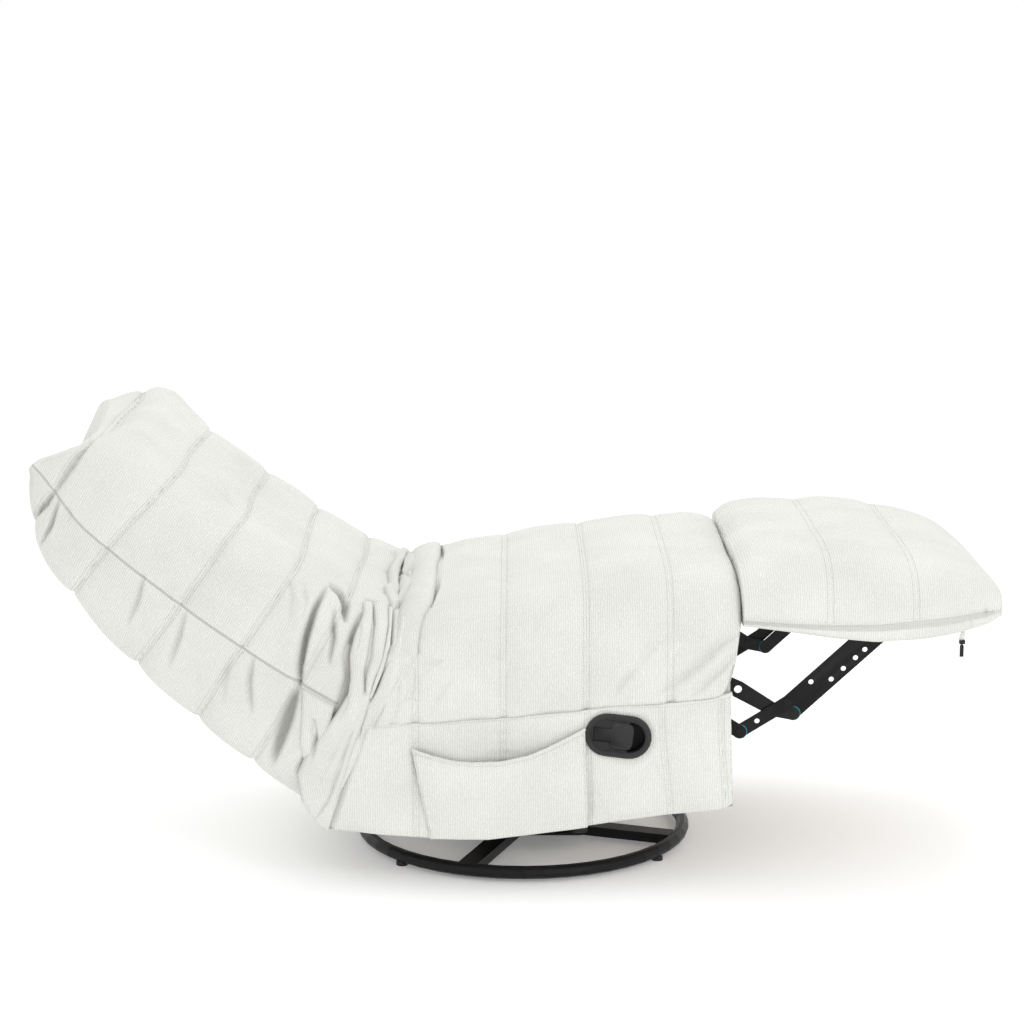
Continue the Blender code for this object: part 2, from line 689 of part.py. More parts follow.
def make_seat_frame(seat_axis):
    board_inner = BOARD_OUTER - BOARD_THICKNESS
    rail_half = board_inner - TOUCH
    base_section = (BASE_RAIL_DEPTH, BASE_RAIL_HEIGHT)
    spring_section = (SPRING_RAIL_DEPTH, SPRING_RAIL_HEIGHT)
    for name, middle in (("front", BASE_RAIL_FRONT), ("rear", BASE_RAIL_REAR)):
        shape = rail(middle, base_section, BASE_RAIL_FLOOR, rail_half)
        add_node("base_rail_" + name, shape, BLACK_STEEL, parent=seat_axis)
    for name, middle in (("front", SPRING_RAIL_FRONT), ("rear", SPRING_RAIL_REAR)):
        shape = rail(middle, spring_section, SPRING_RAIL_FLOOR, BOARD_OUTER)
        add_node("spring_rail_" + name, shape, PLYWOOD, parent=seat_axis)
    outline = [
        (BOARD_REAR_LOW, BOARD_FLOOR), (BOARD_FRONT_LOW, BOARD_FLOOR),
        (BOARD_FRONT_TOP, BOARD_TOP), (BOARD_REAR_TOP, BOARD_TOP),
        (BOARD_REAR_TOP, BOARD_REAR_TOP_HEIGHT), (BOARD_REAR_MID, BOARD_REAR_MID_HEIGHT),
    ]
    for side in (LEFT, RIGHT):
        middle = BOARD_OUTER - BOARD_THICKNESS / 2
        shape = plate(outline, middle, side, thickness=BOARD_THICKNESS)
        add_node(side_name("frame_board", side), shape, PLYWOOD, parent=seat_axis)
    reach = SIDE_PLATE_LAYER - PLATE_THICKNESS / 2 - TOUCH
    tube = shaft(((CROSS_TUBE_RADIUS, -reach), (CROSS_TUBE_RADIUS, reach)), CROSS_TUBE_PLACE)
    add_node("cross_tube", tube, BLACK_STEEL)


def make_seat_springs(seat_axis):
    """Flat zigzag springs that rest on the two spring rails."""
    start = SPRING_RAIL_REAR - SPRING_RAIL_DEPTH / 2
    end = SPRING_RAIL_FRONT + SPRING_RAIL_DEPTH / 2
    for number in (-1, 0, 1):
        data = bpy.data.curves.new(f"seat_spring_{number + 2}", "CURVE")
        data.dimensions = "3D"
        data.bevel_depth = SPRING_WIRE_RADIUS
        data.bevel_resolution = 1
        data.use_fill_caps = True
        line = data.splines.new("POLY")
        points = SPRING_BENDS * 4
        line.points.add(points)
        for i in range(points + 1):
            share = i / points
            swing = SPRING_WAVE * math.sin(2 * math.pi * SPRING_BENDS / 2 * share)
            y = number * SEAT_SPRING_SPACING + swing
            line.points[i].co = (blend(start, end, share), y, SPRING_WIRE_HEIGHT, 1)
        item = bpy.data.objects.new(data.name, data)
        bpy.context.scene.collection.objects.link(item)
        item.parent = seat_axis
        paint(item, ZINC)


def make_side_plates():
    path = (RECLINE_PIVOT, SIDE_PLATE_MID, LOWER_PIVOT, CARRIER_PIVOT)
    widths = (EAR_WIDTH, SIDE_PLATE_WIDTH, SIDE_PLATE_WIDTH, EAR_WIDTH)
    bore = PIN_RADIUS + PIN_CLEARANCE
    holes = [(place, bore) for place in (RECLINE_PIVOT, LOWER_PIVOT, CARRIER_PIVOT)]
    for side in (LEFT, RIGHT):
        shape = plate(strip(path, widths), SIDE_PLATE_LAYER, side, holes)
        add_node(side_name("side_plate", side), shape, BLACK_STEEL)


def on_line(start, end, share):
    return blend(start[0], end[0], share), blend(start[1], end[1], share)


def make_links():
    """The four links of each side, from the outermost layer inwards: lower, crossing, carrier, front."""
    bore = PIN_RADIUS + PIN_CLEARANCE
    face = PLATE_THICKNESS / 2
    for side in (LEFT, RIGHT):
        head_out = LOWER_LAYER + face + RIVET_HEIGHT
        washer_in = LOWER_LAYER - face - RUNNING + 2 * TOUCH
        pins = [
            (LOWER_PIVOT, PIN_RADIUS, rivet_through(LOWER_LAYER + face, SIDE_PLATE_LAYER, False), []),
            (REAR_PIVOT, RIVET_RADIUS, [(RIVET_RADIUS, head_out)], [(RIVET_RADIUS, washer_in)]),
        ]
        shape = plate(strip((LOWER_PIVOT, REAR_PIVOT), (LINK_WIDTH,) * 2), LOWER_LAYER, side, pins=pins)
        add_link("lower_link", side, shape, LOWER_PIVOT)

        path = (REAR_PIVOT, CROSSING_PIVOT, BEND_POINT, FOOT_PIVOT)
        holes = [
            (on_line(REAR_PIVOT, CROSSING_PIVOT, CROSSING_LOWER_HOLE_SHARE), LINK_HOLE_RADIUS),
            (on_line(BEND_POINT, FOOT_PIVOT, CROSSING_UPPER_HOLE_SHARE), LINK_HOLE_RADIUS),
        ]
        to_carrier = rivet_through(CROSSING_LAYER - face, CARRIER_LAYER, True)
        stop_out = [(RIVET_RADIUS, CROSSING_LAYER + face + RIVET_HEIGHT)]
        pins = [
            (CROSSING_PIVOT, PIN_RADIUS, [], to_carrier),
            (FOOT_PIVOT, PIN_RADIUS, [], to_carrier),
            (BEND_POINT, RIVET_RADIUS, stop_out, []),
        ]
        shape = plate(strip(path, (LINK_WIDTH,) * 4), CROSSING_LAYER, side, holes, pins)
        add_link("crossing_link", side, shape, CROSSING_PIVOT)

        spacer_end = SIDE_PLATE_LAYER - face - TOUCH
        pin_end = SIDE_PLATE_LAYER + face
        spacer = [(SPACER_RADIUS, spacer_end), (PIN_RADIUS, spacer_end), (PIN_RADIUS, pin_end)]
        holes = [(CARRIER_HOLE, CARRIER_HOLE_RADIUS), (CROSSING_PIVOT, bore), (FRONT_PIVOT, bore)]
        pins = [(CARRIER_PIVOT, SPACER_RADIUS, spacer, [])]
        path = (CARRIER_PIVOT, CARRIER_HOLE, CROSSING_PIVOT, FRONT_PIVOT)
        widths = (CARRIER_WIDE, CARRIER_WIDE, LINK_WIDTH, LINK_WIDTH)
        shape = plate(strip(path, widths), CARRIER_LAYER, side, holes, pins)
        add_link("carrier_link", side, shape, CARRIER_PIVOT)

        ends = (FRONT_PIVOT, FOOT_FRONT_PIVOT)
        holes = [(on_line(*ends, share), LINK_HOLE_RADIUS) for share in FRONT_LINK_HOLE_SHARES]
        pins = [
            (FRONT_PIVOT, PIN_RADIUS, rivet_through(FRONT_LAYER + face, CARRIER_LAYER, True), []),
            (FOOT_FRONT_PIVOT, PIN_RADIUS, rivet_through(FRONT_LAYER + face, CARRIER_LAYER, False), []),
        ]
        shape = plate(strip(ends, (LINK_WIDTH,) * 2), FRONT_LAYER, side, holes, pins)
        add_link("front_link", side, shape, FRONT_PIVOT)
    reach = CARRIER_LAYER - face - TOUCH
    tube = shaft(((DRIVE_TUBE_RADIUS, -reach), (DRIVE_TUBE_RADIUS, reach)), CARRIER_PIVOT)
    add_node("drive_tube", tube, BLACK_STEEL, pivot=(CARRIER_PIVOT[0], 0, CARRIER_PIVOT[1]))


def add_link(name, side, shape, pivot):
    add_node(side_name(name, side), shape, BLACK_STEEL, pivot=(pivot[0], 0, pivot[1]))


def make_footrest():
    pivot = (FOOT_PIVOT[0], 0, FOOT_PIVOT[1])
    top = FOOT_BOARD_FLOOR - TOUCH
    low = FOOT_PIVOT[1] - BRACKET_DROP
    slope = BRACKET_DROP
    outline = [
        (BRACKET_REAR, top), (BRACKET_FRONT, top), (BRACKET_FRONT - slope, top - slope),
        (FOOT_FRONT_PIVOT[0] + slope, low), (FOOT_PIVOT[0] - slope, low),
        (BRACKET_REAR + slope, top - slope),
    ]
    holes = [
        (FOOT_PIVOT, PIN_RADIUS + PIN_CLEARANCE),
        (FOOT_FRONT_PIVOT, PIN_RADIUS + OPEN_PIVOT_CLEARANCE),
    ]
    for side in (LEFT, RIGHT):
        shape = plate(outline, CARRIER_LAYER, side, holes)
        add_node(side_name("footrest_bracket", side), shape, BLACK_STEEL, pivot=pivot)
    wide = FOOT_BOARD_HALF_WIDTH
    board = box(
        (FOOT_BOARD_REAR, -wide, FOOT_BOARD_FLOOR),
        (FOOT_BOARD_FRONT, wide, FOOT_BOARD_FLOOR + FOOT_BOARD_THICKNESS),
    )
    add_node("footrest_board", board, PLYWOOD, pivot=pivot)
    make_zipper(pivot, make_footrest_cushion(pivot))


def make_footrest_cushion(pivot):
    """A crowned pad whose rim hangs past the board. Gives the corners of the zipper's seat under it."""
    wall = FOOT_RIM_WALL
    recess_y = FOOT_BOARD_HALF_WIDTH + TOUCH
    recess_x = (FOOT_BOARD_REAR - TOUCH, FOOT_BOARD_FRONT + TOUCH)
    extra_x = (recess_x[0] - wall, recess_x[0], recess_x[1], recess_x[1] + wall)
    extra_y = (-recess_y - wall, -recess_y, recess_y, recess_y + wall)

    def plan(x, y):
        along = (x - FOOT_REAR) / (FOOT_FRONT - FOOT_REAR)
        across = (y + FOOT_HALF_WIDTH) / (2 * FOOT_HALF_WIDTH)
        draw = FOOT_CORNER_DRAW * (1 - dome(across, 4)) * max(0, 2 * along - 1) ** 3
        side_draw = PAD_EDGE_DRAW / 2 * dome(along, 2) * (2 * across - 1)
        return along, across, x - draw, y - side_draw

    def upper(x, y):
        along, across, px, py = plan(x, y)
        crown = blend(FOOT_ROOT_TOP, FOOT_CROWN, dome(along * FOOT_CROWN_SHARE, 2))
        crown = blend(crown, FOOT_TIP_HEIGHT + FOOT_TIP_THICKNESS / 2, max(0, 2 * along - 1) ** 3)
        edge = blend(FOOT_SIDE_TOP, FOOT_TIP_HEIGHT + FOOT_TIP_THICKNESS / 2, max(0, 2 * along - 1) ** 3)
        z = blend(edge, crown, dome(across, 10))
        sewn = max(channel(x, FOOT_CHANNEL_X), channel(y, FOOT_CHANNEL_Y))
        return px, py, z - CHANNEL_DEPTH * sewn * dome(across, 8) * dome(along, 8)

    def lower(x, y):
        along, across, px, py = plan(x, y)
        if recess_x[0] <= x <= recess_x[1] and abs(y) <= recess_y:
            return x, y, FOOT_RECESS
        edge = max(1 - dome(across, 12), 1 - dome(along, 12))
        rim = blend(FOOT_RIM_FLOOR, FOOT_SIDE_LOW, edge)
        rim = blend(rim, FOOT_ROOT_LOW, max(0, 1 - along / FOOT_ROOT_RISE_SHARE))
        z = blend(rim, FOOT_TIP_HEIGHT - FOOT_TIP_THICKNESS / 2, max(0, 2 * along - 1) ** 6)
        return px, py, z

    half = ZIPPER_SLIDER_SIDE / 2
    seat_x, seat_y = [(middle - half, middle + half) for middle in ZIPPER_PLACE]
    xs = stations(FOOT_REAR, FOOT_FRONT, FOOT_CHANNEL_X, 3, extra_x + seat_x)
    ys = stations(-FOOT_HALF_WIDTH, FOOT_HALF_WIDTH, FOOT_CHANNEL_Y, 3, extra_y + seat_y)
    add_node("footrest_cushion", pad(xs, ys, upper, lower), FABRIC, pivot=pivot)
    return [Vector(lower(x, y)) for x in seat_x for y in seat_y]


def make_zipper(pivot, corners):
    """The slider under the footrest's rim and the tag that hangs from it."""
    middle = sum(corners, Vector()) / len(corners)
    x, y = middle.x, middle.y
    half = ZIPPER_SLIDER_SIDE / 2
    top = min(corner.z for corner in corners) - TOUCH
    floor = top - ZIPPER_SLIDER_HEIGHT
    slider = box((x - half, y - half, floor), (x + half, y + half, top))
    add_node("zipper_slider", slider, BLACK_STEEL, pivot=pivot)
    tag_top = floor - ZIPPER_TAG_GAP
    shoulder = tag_top - ZIPPER_TAG_WIDTH / 2
    half_width, half_tip = ZIPPER_TAG_WIDTH / 2, ZIPPER_TAG_TIP / 2
    outline = [
        (x - half_tip, tag_top), (x + half_tip, tag_top), (x + half_width, shoulder),
        (x + half_width, tag_top - ZIPPER_TAG_LENGTH), (x - half_width, tag_top - ZIPPER_TAG_LENGTH),
        (x - half_width, shoulder),
    ]
    half_thickness = ZIPPER_TAG_THICKNESS / 2
    tag = loft([[(a, y + side * half_thickness, b) for a, b in outline] for side in (LEFT, RIGHT)])
    add_node("zipper_pull", tag, BLACK_STEEL, pivot=(x, y, tag_top))


def make_seat_cushion(seat_axis):
    def plan(x, y):
        along = (x - CUSHION_REAR) / (CUSHION_FRONT_LOW - CUSHION_REAR)
        across = (y + HALF_WIDTH) / (2 * HALF_WIDTH)
        return along, across

    def upper(x, y):
        along, across = plan(x, y)
        drop = CUSHION_REAR_DROP * (1 - along) ** 2
        rise = CUSHION_CROWN * dome(across, 12) * blend(1, dome(along, 6), CUSHION_END_DROP_SHARE)
        sewn = max(channel(x, SEAT_CHANNEL_X), channel(y, SEAT_CHANNEL_Y))
        z = CUSHION_FLOOR + CUSHION_BORDER_HEIGHT + rise - drop
        z -= CHANNEL_DEPTH * sewn * dome(across, 10) * dome(along, 10)
        lean = (CUSHION_FRONT_TOP - CUSHION_FRONT_LOW) * along
        side_draw = PAD_EDGE_DRAW / 2 * dome(along, 2) * (2 * across - 1)
        return x + lean, y - side_draw, z

    def lower(x, y):
        along, across = plan(x, y)
        side_draw = (PAD_EDGE_DRAW / 2 * dome(along, 2) + CUSHION_TUCK) * (2 * across - 1)
        return x, y - side_draw, CUSHION_FLOOR

    xs = stations(CUSHION_REAR, CUSHION_FRONT_LOW, SEAT_CHANNEL_X, 3)
    ys = stations(-HALF_WIDTH, HALF_WIDTH, SEAT_CHANNEL_Y, 3)
    add_node("seat_cushion", pad(xs, ys, upper, lower), FABRIC, parent=seat_axis)


def pad_rear_edge(share):
    """X of the side pad's rear edge at this share of its height."""
    if share < PAD_REAR_MID_SHARE:
        return blend(PAD_REAR_LOW, PAD_REAR_MID, share / PAD_REAR_MID_SHARE)
    if share < PAD_REAR_TOP_SHARE:
        along = (share - PAD_REAR_MID_SHARE) / (PAD_REAR_TOP_SHARE - PAD_REAR_MID_SHARE)
        return blend(PAD_REAR_MID, PAD_REAR_TOP, along)
    return PAD_REAR_TOP


def make_side_pads(seat_axis):
    """Crowned side panels, thinner at their edges, with sewn channels up and along."""
    def outline(along, share):
        x = blend(pad_rear_edge(share), blend(PAD_FRONT_LOW, PAD_FRONT_TOP, share), along)
        floor = PAD_REAR_LIFT * (1 - along) ** 6 - PAD_SAG * dome(along, 4)
        return x, blend(floor, PAD_TOP, share)

    span = PAD_FRONT_LOW - PAD_REAR_LOW
    upright = [(x - PAD_REAR_LOW) / span for x in PAD_CHANNEL_X]
    level = [PAD_CHANNEL_HEIGHT / PAD_TOP]
    half_u, half_v = CHANNEL_HALF_WIDTH / span, CHANNEL_HALF_WIDTH / PAD_TOP
    alongs = stations(0, 1, upright, 3, half_width=half_u)
    shares = stations(0, 1, level, 3, (PAD_REAR_MID_SHARE, PAD_REAR_TOP_SHARE), half_width=half_v)
    for side in (LEFT, RIGHT):
        def outer(along, share):
            x, z = outline(along, share)
            draw = PAD_EDGE_DRAW * (1 - dome(along, 8) * dome(share, 6))
            sewn = max(channel(along, upright, half_u), channel(share, level, half_v))
            sewn *= dome(along, 10) * dome(share, 10)
            return x, side * (HALF_WIDTH - draw - CHANNEL_DEPTH * sewn), z

        def inner(along, share):
            x, z = outline(along, share)
            return x, side * PAD_INNER, z

        shape = pad(alongs, shares, outer, inner)
        item = add_node(side_name("side_pad", side), shape, FABRIC, parent=seat_axis)
        if side == RIGHT:
            cut_for_handle(item, seat_axis)


def handle_place(x, z, y):
    """World place of (x, z) on the handle's own face at distance y."""
    turn, rise = math.cos(HANDLE_TILT), math.sin(HANDLE_TILT)
    return Vector((HANDLE_PLACE[0] + x * turn - z * rise, y, HANDLE_PLACE[1] + x * rise + z * turn))


def handle_loop(length, height, radius, y):
    return [handle_place(x, z, y) for x, z in rounded_rectangle(length, height, radius)]


def cut_for_handle(item, seat_axis):
    """A window through the pad for the handle's cup and the cable behind it."""
    length, height = CUP_LENGTH + 2 * CUP_CLEARANCE, CUP_HEIGHT + 2 * CUP_CLEARANCE
    loops = [
        handle_loop(length, height, height / 2, y)
        for y in (-HALF_WIDTH - OVERRUN, -PAD_INNER + OVERRUN)
    ]
    window = loft(loops)
    window.transform(seat_axis.matrix_basis.inverted())
    cut(item, window)


def make_handle():
    flange_back = -(HALF_WIDTH + TOUCH)
    face = flange_back - HANDLE_FLANGE
    floor = flange_back + CUP_DEPTH
    opening_length, opening_height = CUP_LENGTH - 2 * CUP_WALL, CUP_HEIGHT - 2 * CUP_WALL
    loops = [
        handle_loop(opening_length, opening_height, opening_height / 2, floor - CUP_WALL),
        handle_loop(opening_length, opening_height, opening_height / 2, face),
        handle_loop(HANDLE_LENGTH, HANDLE_HEIGHT, HANDLE_HEIGHT / 2, face),
        handle_loop(HANDLE_LENGTH, HANDLE_HEIGHT, HANDLE_HEIGHT / 2, flange_back),
        handle_loop(CUP_LENGTH, CUP_HEIGHT, CUP_HEIGHT / 2, flange_back),
        handle_loop(CUP_LENGTH, CUP_HEIGHT, CUP_HEIGHT / 2, floor),
    ]
    add_node("handle_housing", loft(loops), BLACK_PLASTIC)
    make_paddle(face + PADDLE_INSET)
    make_cable(floor)


def make_paddle(front):
    """A neck from the pivot barrel, with a round-cornered head that the fingers pull."""
    barrel, neck, head = PADDLE_BARREL_RADIUS, NECK_HEIGHT / 2, HEAD_HEIGHT / 2
    corner = HEAD_CORNER
    cut_in = corner * (1 - math.cos(math.pi / 4))
    half = [
        (PADDLE_AXIS - barrel, 0), (PADDLE_AXIS - barrel, neck), (NECK_END, neck),
        (NECK_END, head - corner / 2), (NECK_END + corner / 2, head),
        (HEAD_END - corner, head), (HEAD_END - cut_in, head - cut_in), (HEAD_END, head - corner),
    ]
    outline = half[1:] + [(x, -z) for x, z in reversed(half[1:])]
    axis_y = front + PADDLE_THICKNESS / 2
    levels = (front, front + PADDLE_THICKNESS)
    shape = loft([[handle_place(x, z, y) for x, z in outline] for y in levels])
    pivot = handle_place(PADDLE_AXIS, 0, axis_y)
    item = add_node("handle_paddle", shape, BLACK_PLASTIC, pivot=tuple(pivot))
    cup_radius = CUP_HEIGHT / 2 - CUP_WALL
    from_middle = cup_radius - CUP_LENGTH / 2 + CUP_WALL - PADDLE_AXIS + PADDLE_PIN_RADIUS
    reach = math.sqrt(cup_radius ** 2 - from_middle ** 2) - 2 * TOUCH
    section = [(PADDLE_AXIS + x, axis_y + y) for x, y in circle(PADDLE_PIN_RADIUS, PADDLE_PIN_STEPS)]
    pin = loft([[handle_place(x, z, y) for x, y in section] for z in (-reach, reach)])
    combine(item, pin, "pin", "UNION")


def make_cable(cup_floor):
    """The release cable from the back of the cup to the side board."""
    start = cup_floor + TOUCH
    end = -(BOARD_OUTER + TOUCH)
    data = bpy.data.curves.new("release_cable", "CURVE")
    data.dimensions = "3D"
    data.bevel_depth = CABLE_RADIUS
    data.bevel_resolution = 2
    data.use_fill_caps = True
    line = data.splines.new("POLY")
    line.points.add(CABLE_STEPS)
    for i in range(CABLE_STEPS + 1):
        share = i / CABLE_STEPS
        ease = share * share * (3 - 2 * share)
        place = handle_place(0, -CABLE_SAG * ease, blend(start, end, share))
        line.points[i].co = (*place, 1)
    item = bpy.data.objects.new("release_cable", data)
    bpy.context.scene.collection.objects.link(item)
    paint(item, BLACK_PLASTIC)


def make_pocket(seat_axis):
    """A shallow pouch on the near side, open along its sagging upper hem."""
    back = -(HALF_WIDTH + TOUCH)
    seam_front = back - POCKET_PANEL
    inside = back - POCKET_DEPTH
    front = inside - POCKET_PANEL
    places = [i / POCKET_STEPS for i in range(POCKET_STEPS + 1)]
    seam_share = POCKET_SEAM / (POCKET_FRONT - POCKET_REAR)
    alongs = sorted(set([seam_share, 2 * seam_share, 1 - 2 * seam_share, 1 - seam_share] + places))

    def place(along, share):
        hem = blend(POCKET_HEM_REAR, POCKET_HEM_FRONT, along) - POCKET_HEM_SAG * dome(along, 2)
        return blend(POCKET_REAR, POCKET_FRONT, along), blend(POCKET_FLOOR, hem, share)

    def stands(along, share):
        inset = 1.5 * seam_share
        return inset < along < 1 - inset and share >= POCKET_SHARES[2]

    def outer(along, share):
        x, z = place(along, share)
        return x, front if stands(along, share) else seam_front, z

    def inner(along, share):
        x, z = place(along, share)
        return x, inside if stands(along, share) else back, z

    add_node("side_pocket", pad(alongs, POCKET_SHARES, outer, inner), FABRIC, parent=seat_axis)


def back_strip(s_low, s_high, y_low, y_high, half_depth, steps):
    """A bar along the back's arc."""
    loops = []
    for i in range(steps + 1):
        s = blend(s_low, s_high, i / steps)
        corners = ((y_low, -half_depth), (y_high, -half_depth), (y_high, half_depth), (y_low, half_depth))
        loops.append([back_point(s, y, n) for y, n in corners])
    return loft(loops)


def make_back_frame():
    pivot = (RECLINE_PIVOT[0], 0, RECLINE_PIVOT[1])
    face = PLATE_THICKNESS / 2
    leg_outer = LOWER_LAYER - face - TOUCH
    leg_inner = leg_outer - BACK_LEG_WIDTH
    half_depth = BACK_FRAME_DEPTH / 2
    entry = back_point(-BRACKET_ENTRY, 0, 0)
    path = [RECLINE_PIVOT, (entry.x, entry.z)]
    for i in range(1, BRACKET_STEPS + 1):
        point = back_point(BRACKET_REACH * i / BRACKET_STEPS, 0, 0)
        path.append((point.x, point.z))
    width = BACK_FRAME_DEPTH - 2 * TOUCH
    widths = [width, BRACKET_NECK] + [width] * (len(path) - 2)
    for side in (LEFT, RIGHT):
        pins = [(RECLINE_PIVOT, PIN_RADIUS, rivet_through(LOWER_LAYER + face, SIDE_PLATE_LAYER, False), [])]
        shape = plate(strip(path, widths), LOWER_LAYER, side, pins=pins)
        add_node(side_name("back_bracket", side), shape, BLACK_STEEL, pivot=pivot)
        ends = sorted((side * leg_inner, side * leg_outer))
        leg = back_strip(BACK_LEG_START, BACK_LENGTH - BACK_LEG_MARGIN, *ends, half_depth, BACK_LEG_STEPS)
        add_node(side_name("back_leg", side), leg, BLACK_STEEL, pivot=pivot)
    bar_half = leg_inner - TOUCH
    for number, share in enumerate(BACK_BAR_SHARES, 1):
        middle = share * BACK_LENGTH
        low, high = middle - BACK_BAR_DEPTH / 2, middle + BACK_BAR_DEPTH / 2
        bar = back_strip(low, high, -bar_half, bar_half, half_depth, 1)
        add_node(f"back_bar_{number}", bar, BLACK_STEEL, pivot=pivot)


def make_back_pads():
    pivot = (RECLINE_PIVOT[0], 0, RECLINE_PIVOT[1])
    inner_n = BACK_FRAME_DEPTH / 2 + TOUCH
    cross_seams = [share * BACK_LENGTH for share in BACK_CHANNEL_SHARES]

    def plan(s, y):
        along = s / BACK_LENGTH
        across = (y + BACK_HALF_WIDTH) / (2 * BACK_HALF_WIDTH)
        waist = BACK_WAIST_DRAW * dome(along, 2) * (2 * across - 1)
        head = BACK_WAIST_DRAW * dome(across, 2) * max(0, 2 * along - 1) ** 3
        return along, across, s - head, y - waist

    def face(s, y):
        along, across, ps, py = plan(s, y)
        crown = blend(BACK_CROWN_LOW, BACK_CROWN_HIGH, along)
        end = 1 - max(0, 2 * along - 1) ** 8
        n = blend(BACK_SIDE_CROWN, crown, dome(across, 10)) * blend(BACK_FACE_END_SHARE, 1, end)
        sewn = max(channel(s, cross_seams), channel(y, BACK_CHANNEL_Y))
        return back_point(ps, py, n - CHANNEL_DEPTH * sewn * dome(across, 8) * dome(along, 10))

    def inside(s, y):
        _, _, ps, py = plan(s, y)
        return back_point(ps, py, inner_n)

    def rear(s, y):
        along, across, ps, py = plan(s, y)
        swell = blend(BACK_REAR_LOW, BACK_REAR_HIGH, along)
        end = 1 - max(0, 2 * along - 1) ** 3
        n = swell * blend(BACK_REAR_SIDE_SHARE, 1, dome(across, 5)) * blend(BACK_REAR_END_SHARE, 1, end)
        return back_point(ps, py, -n)

    def rear_inside(s, y):
        _, _, ps, py = plan(s, y)
        return back_point(ps, py, -inner_n)

    ss = stations(0, BACK_LENGTH, cross_seams, 3)
    ys = stations(-BACK_HALF_WIDTH, BACK_HALF_WIDTH, BACK_CHANNEL_Y, 3)
    add_node("back_cushion", pad(ss, ys, face, inside), FABRIC, pivot=pivot)
    along_steps, across_steps = BACK_REAR_STEPS
    ss = [BACK_LENGTH * i / along_steps for i in range(along_steps + 1)]
    ys = [blend(-BACK_HALF_WIDTH, BACK_HALF_WIDTH, i / across_steps) for i in range(across_steps + 1)]
    add_node("back_rear_pad", pad(ss, ys, rear, rear_inside), FABRIC, pivot=pivot)


def make_crease(seat_axis):
    """The bunched cover that fills the crease between the seat and the back."""
    front = CUSHION_REAR - TOUCH
    corners = [
        CREASE_REAR_LOW, (front, CREASE_FRONT_LOW_HEIGHT),
        (front, CREASE_FRONT_TOP_HEIGHT), CREASE_REAR_TOP,
    ]
    loops = []
    for i in range(CREASE_PLEATS * 2 + 1):
        y = blend(-CREASE_HALF_WIDTH, CREASE_HALF_WIDTH, i / (CREASE_PLEATS * 2))
        pleat = CREASE_PLEAT if i % 2 else 0
        loops.append([
            (corners[0][0], y, corners[0][1]),
            (corners[1][0], y, corners[1][1]),
            (corners[2][0], y, corners[2][1] - pleat),
            (corners[3][0] + pleat, y, corners[3][1]),
        ])
    add_node("crease_cover", loft(loops), FABRIC, parent=seat_axis)


def build():
    clear_scene()
    seat_axis = empty("seat_axis", (0, 0, SEAT_BOTTOM), SEAT_PITCH)
    make_ring()
    make_cross()
    make_glides()
    make_swivel()
    make_rocker(seat_axis)
    make_seat_frame(seat_axis)
    make_seat_springs(seat_axis)
    make_side_plates()
    make_links()
    make_footrest()
    make_seat_cushion(seat_axis)
    make_side_pads(seat_axis)
    make_pocket(seat_axis)
    make_handle()
    make_back_frame()
    make_back_pads()
    make_crease(seat_axis)


build()
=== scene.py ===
"""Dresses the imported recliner: sewn covers, folds, piping, washers, materials, floor, light and camera.

The row frame: +X is the way the sitter faces, +Y the sitter's left, +Z up, metres.
"""
import json
import math
from functools import partial

import bmesh
import bpy
import numpy as np
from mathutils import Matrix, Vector
from mathutils.bvhtree import BVHTree


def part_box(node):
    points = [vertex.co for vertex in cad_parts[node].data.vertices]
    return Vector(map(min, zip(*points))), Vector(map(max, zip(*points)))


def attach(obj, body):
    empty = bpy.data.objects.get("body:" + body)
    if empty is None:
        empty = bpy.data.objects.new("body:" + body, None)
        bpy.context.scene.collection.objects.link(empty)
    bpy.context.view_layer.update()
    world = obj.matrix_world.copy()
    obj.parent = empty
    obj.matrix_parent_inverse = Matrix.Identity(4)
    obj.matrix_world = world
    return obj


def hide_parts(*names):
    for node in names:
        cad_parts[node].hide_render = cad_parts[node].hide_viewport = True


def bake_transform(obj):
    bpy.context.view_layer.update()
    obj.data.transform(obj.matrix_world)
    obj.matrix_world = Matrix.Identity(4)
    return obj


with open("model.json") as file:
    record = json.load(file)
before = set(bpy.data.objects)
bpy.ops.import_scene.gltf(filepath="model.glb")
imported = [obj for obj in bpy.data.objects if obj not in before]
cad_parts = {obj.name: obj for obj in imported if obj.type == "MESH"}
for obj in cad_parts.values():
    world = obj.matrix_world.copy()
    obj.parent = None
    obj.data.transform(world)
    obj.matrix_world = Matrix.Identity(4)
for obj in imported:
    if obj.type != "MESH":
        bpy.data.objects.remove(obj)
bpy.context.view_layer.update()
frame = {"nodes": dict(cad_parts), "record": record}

NODES = frame["nodes"]
NEAR, FAR = -1, 1
WORD = {NEAR: "right", FAR: "left"}
PLAIN_COVERS = []

# Camera, solved from the ring and the body's edges
CAMERA_PLACE = (-0.022, -4.788, 1.5497)
CAMERA_PITCH = math.radians(79.3)
CAMERA_LENS = 87.89
SENSOR = 36.0
PICTURE = 1024
FOCAL = CAMERA_LENS / SENSOR * PICTURE
LEVEL, DIP = math.sin(CAMERA_PITCH), math.cos(CAMERA_PITCH)
FARTHEST = 300

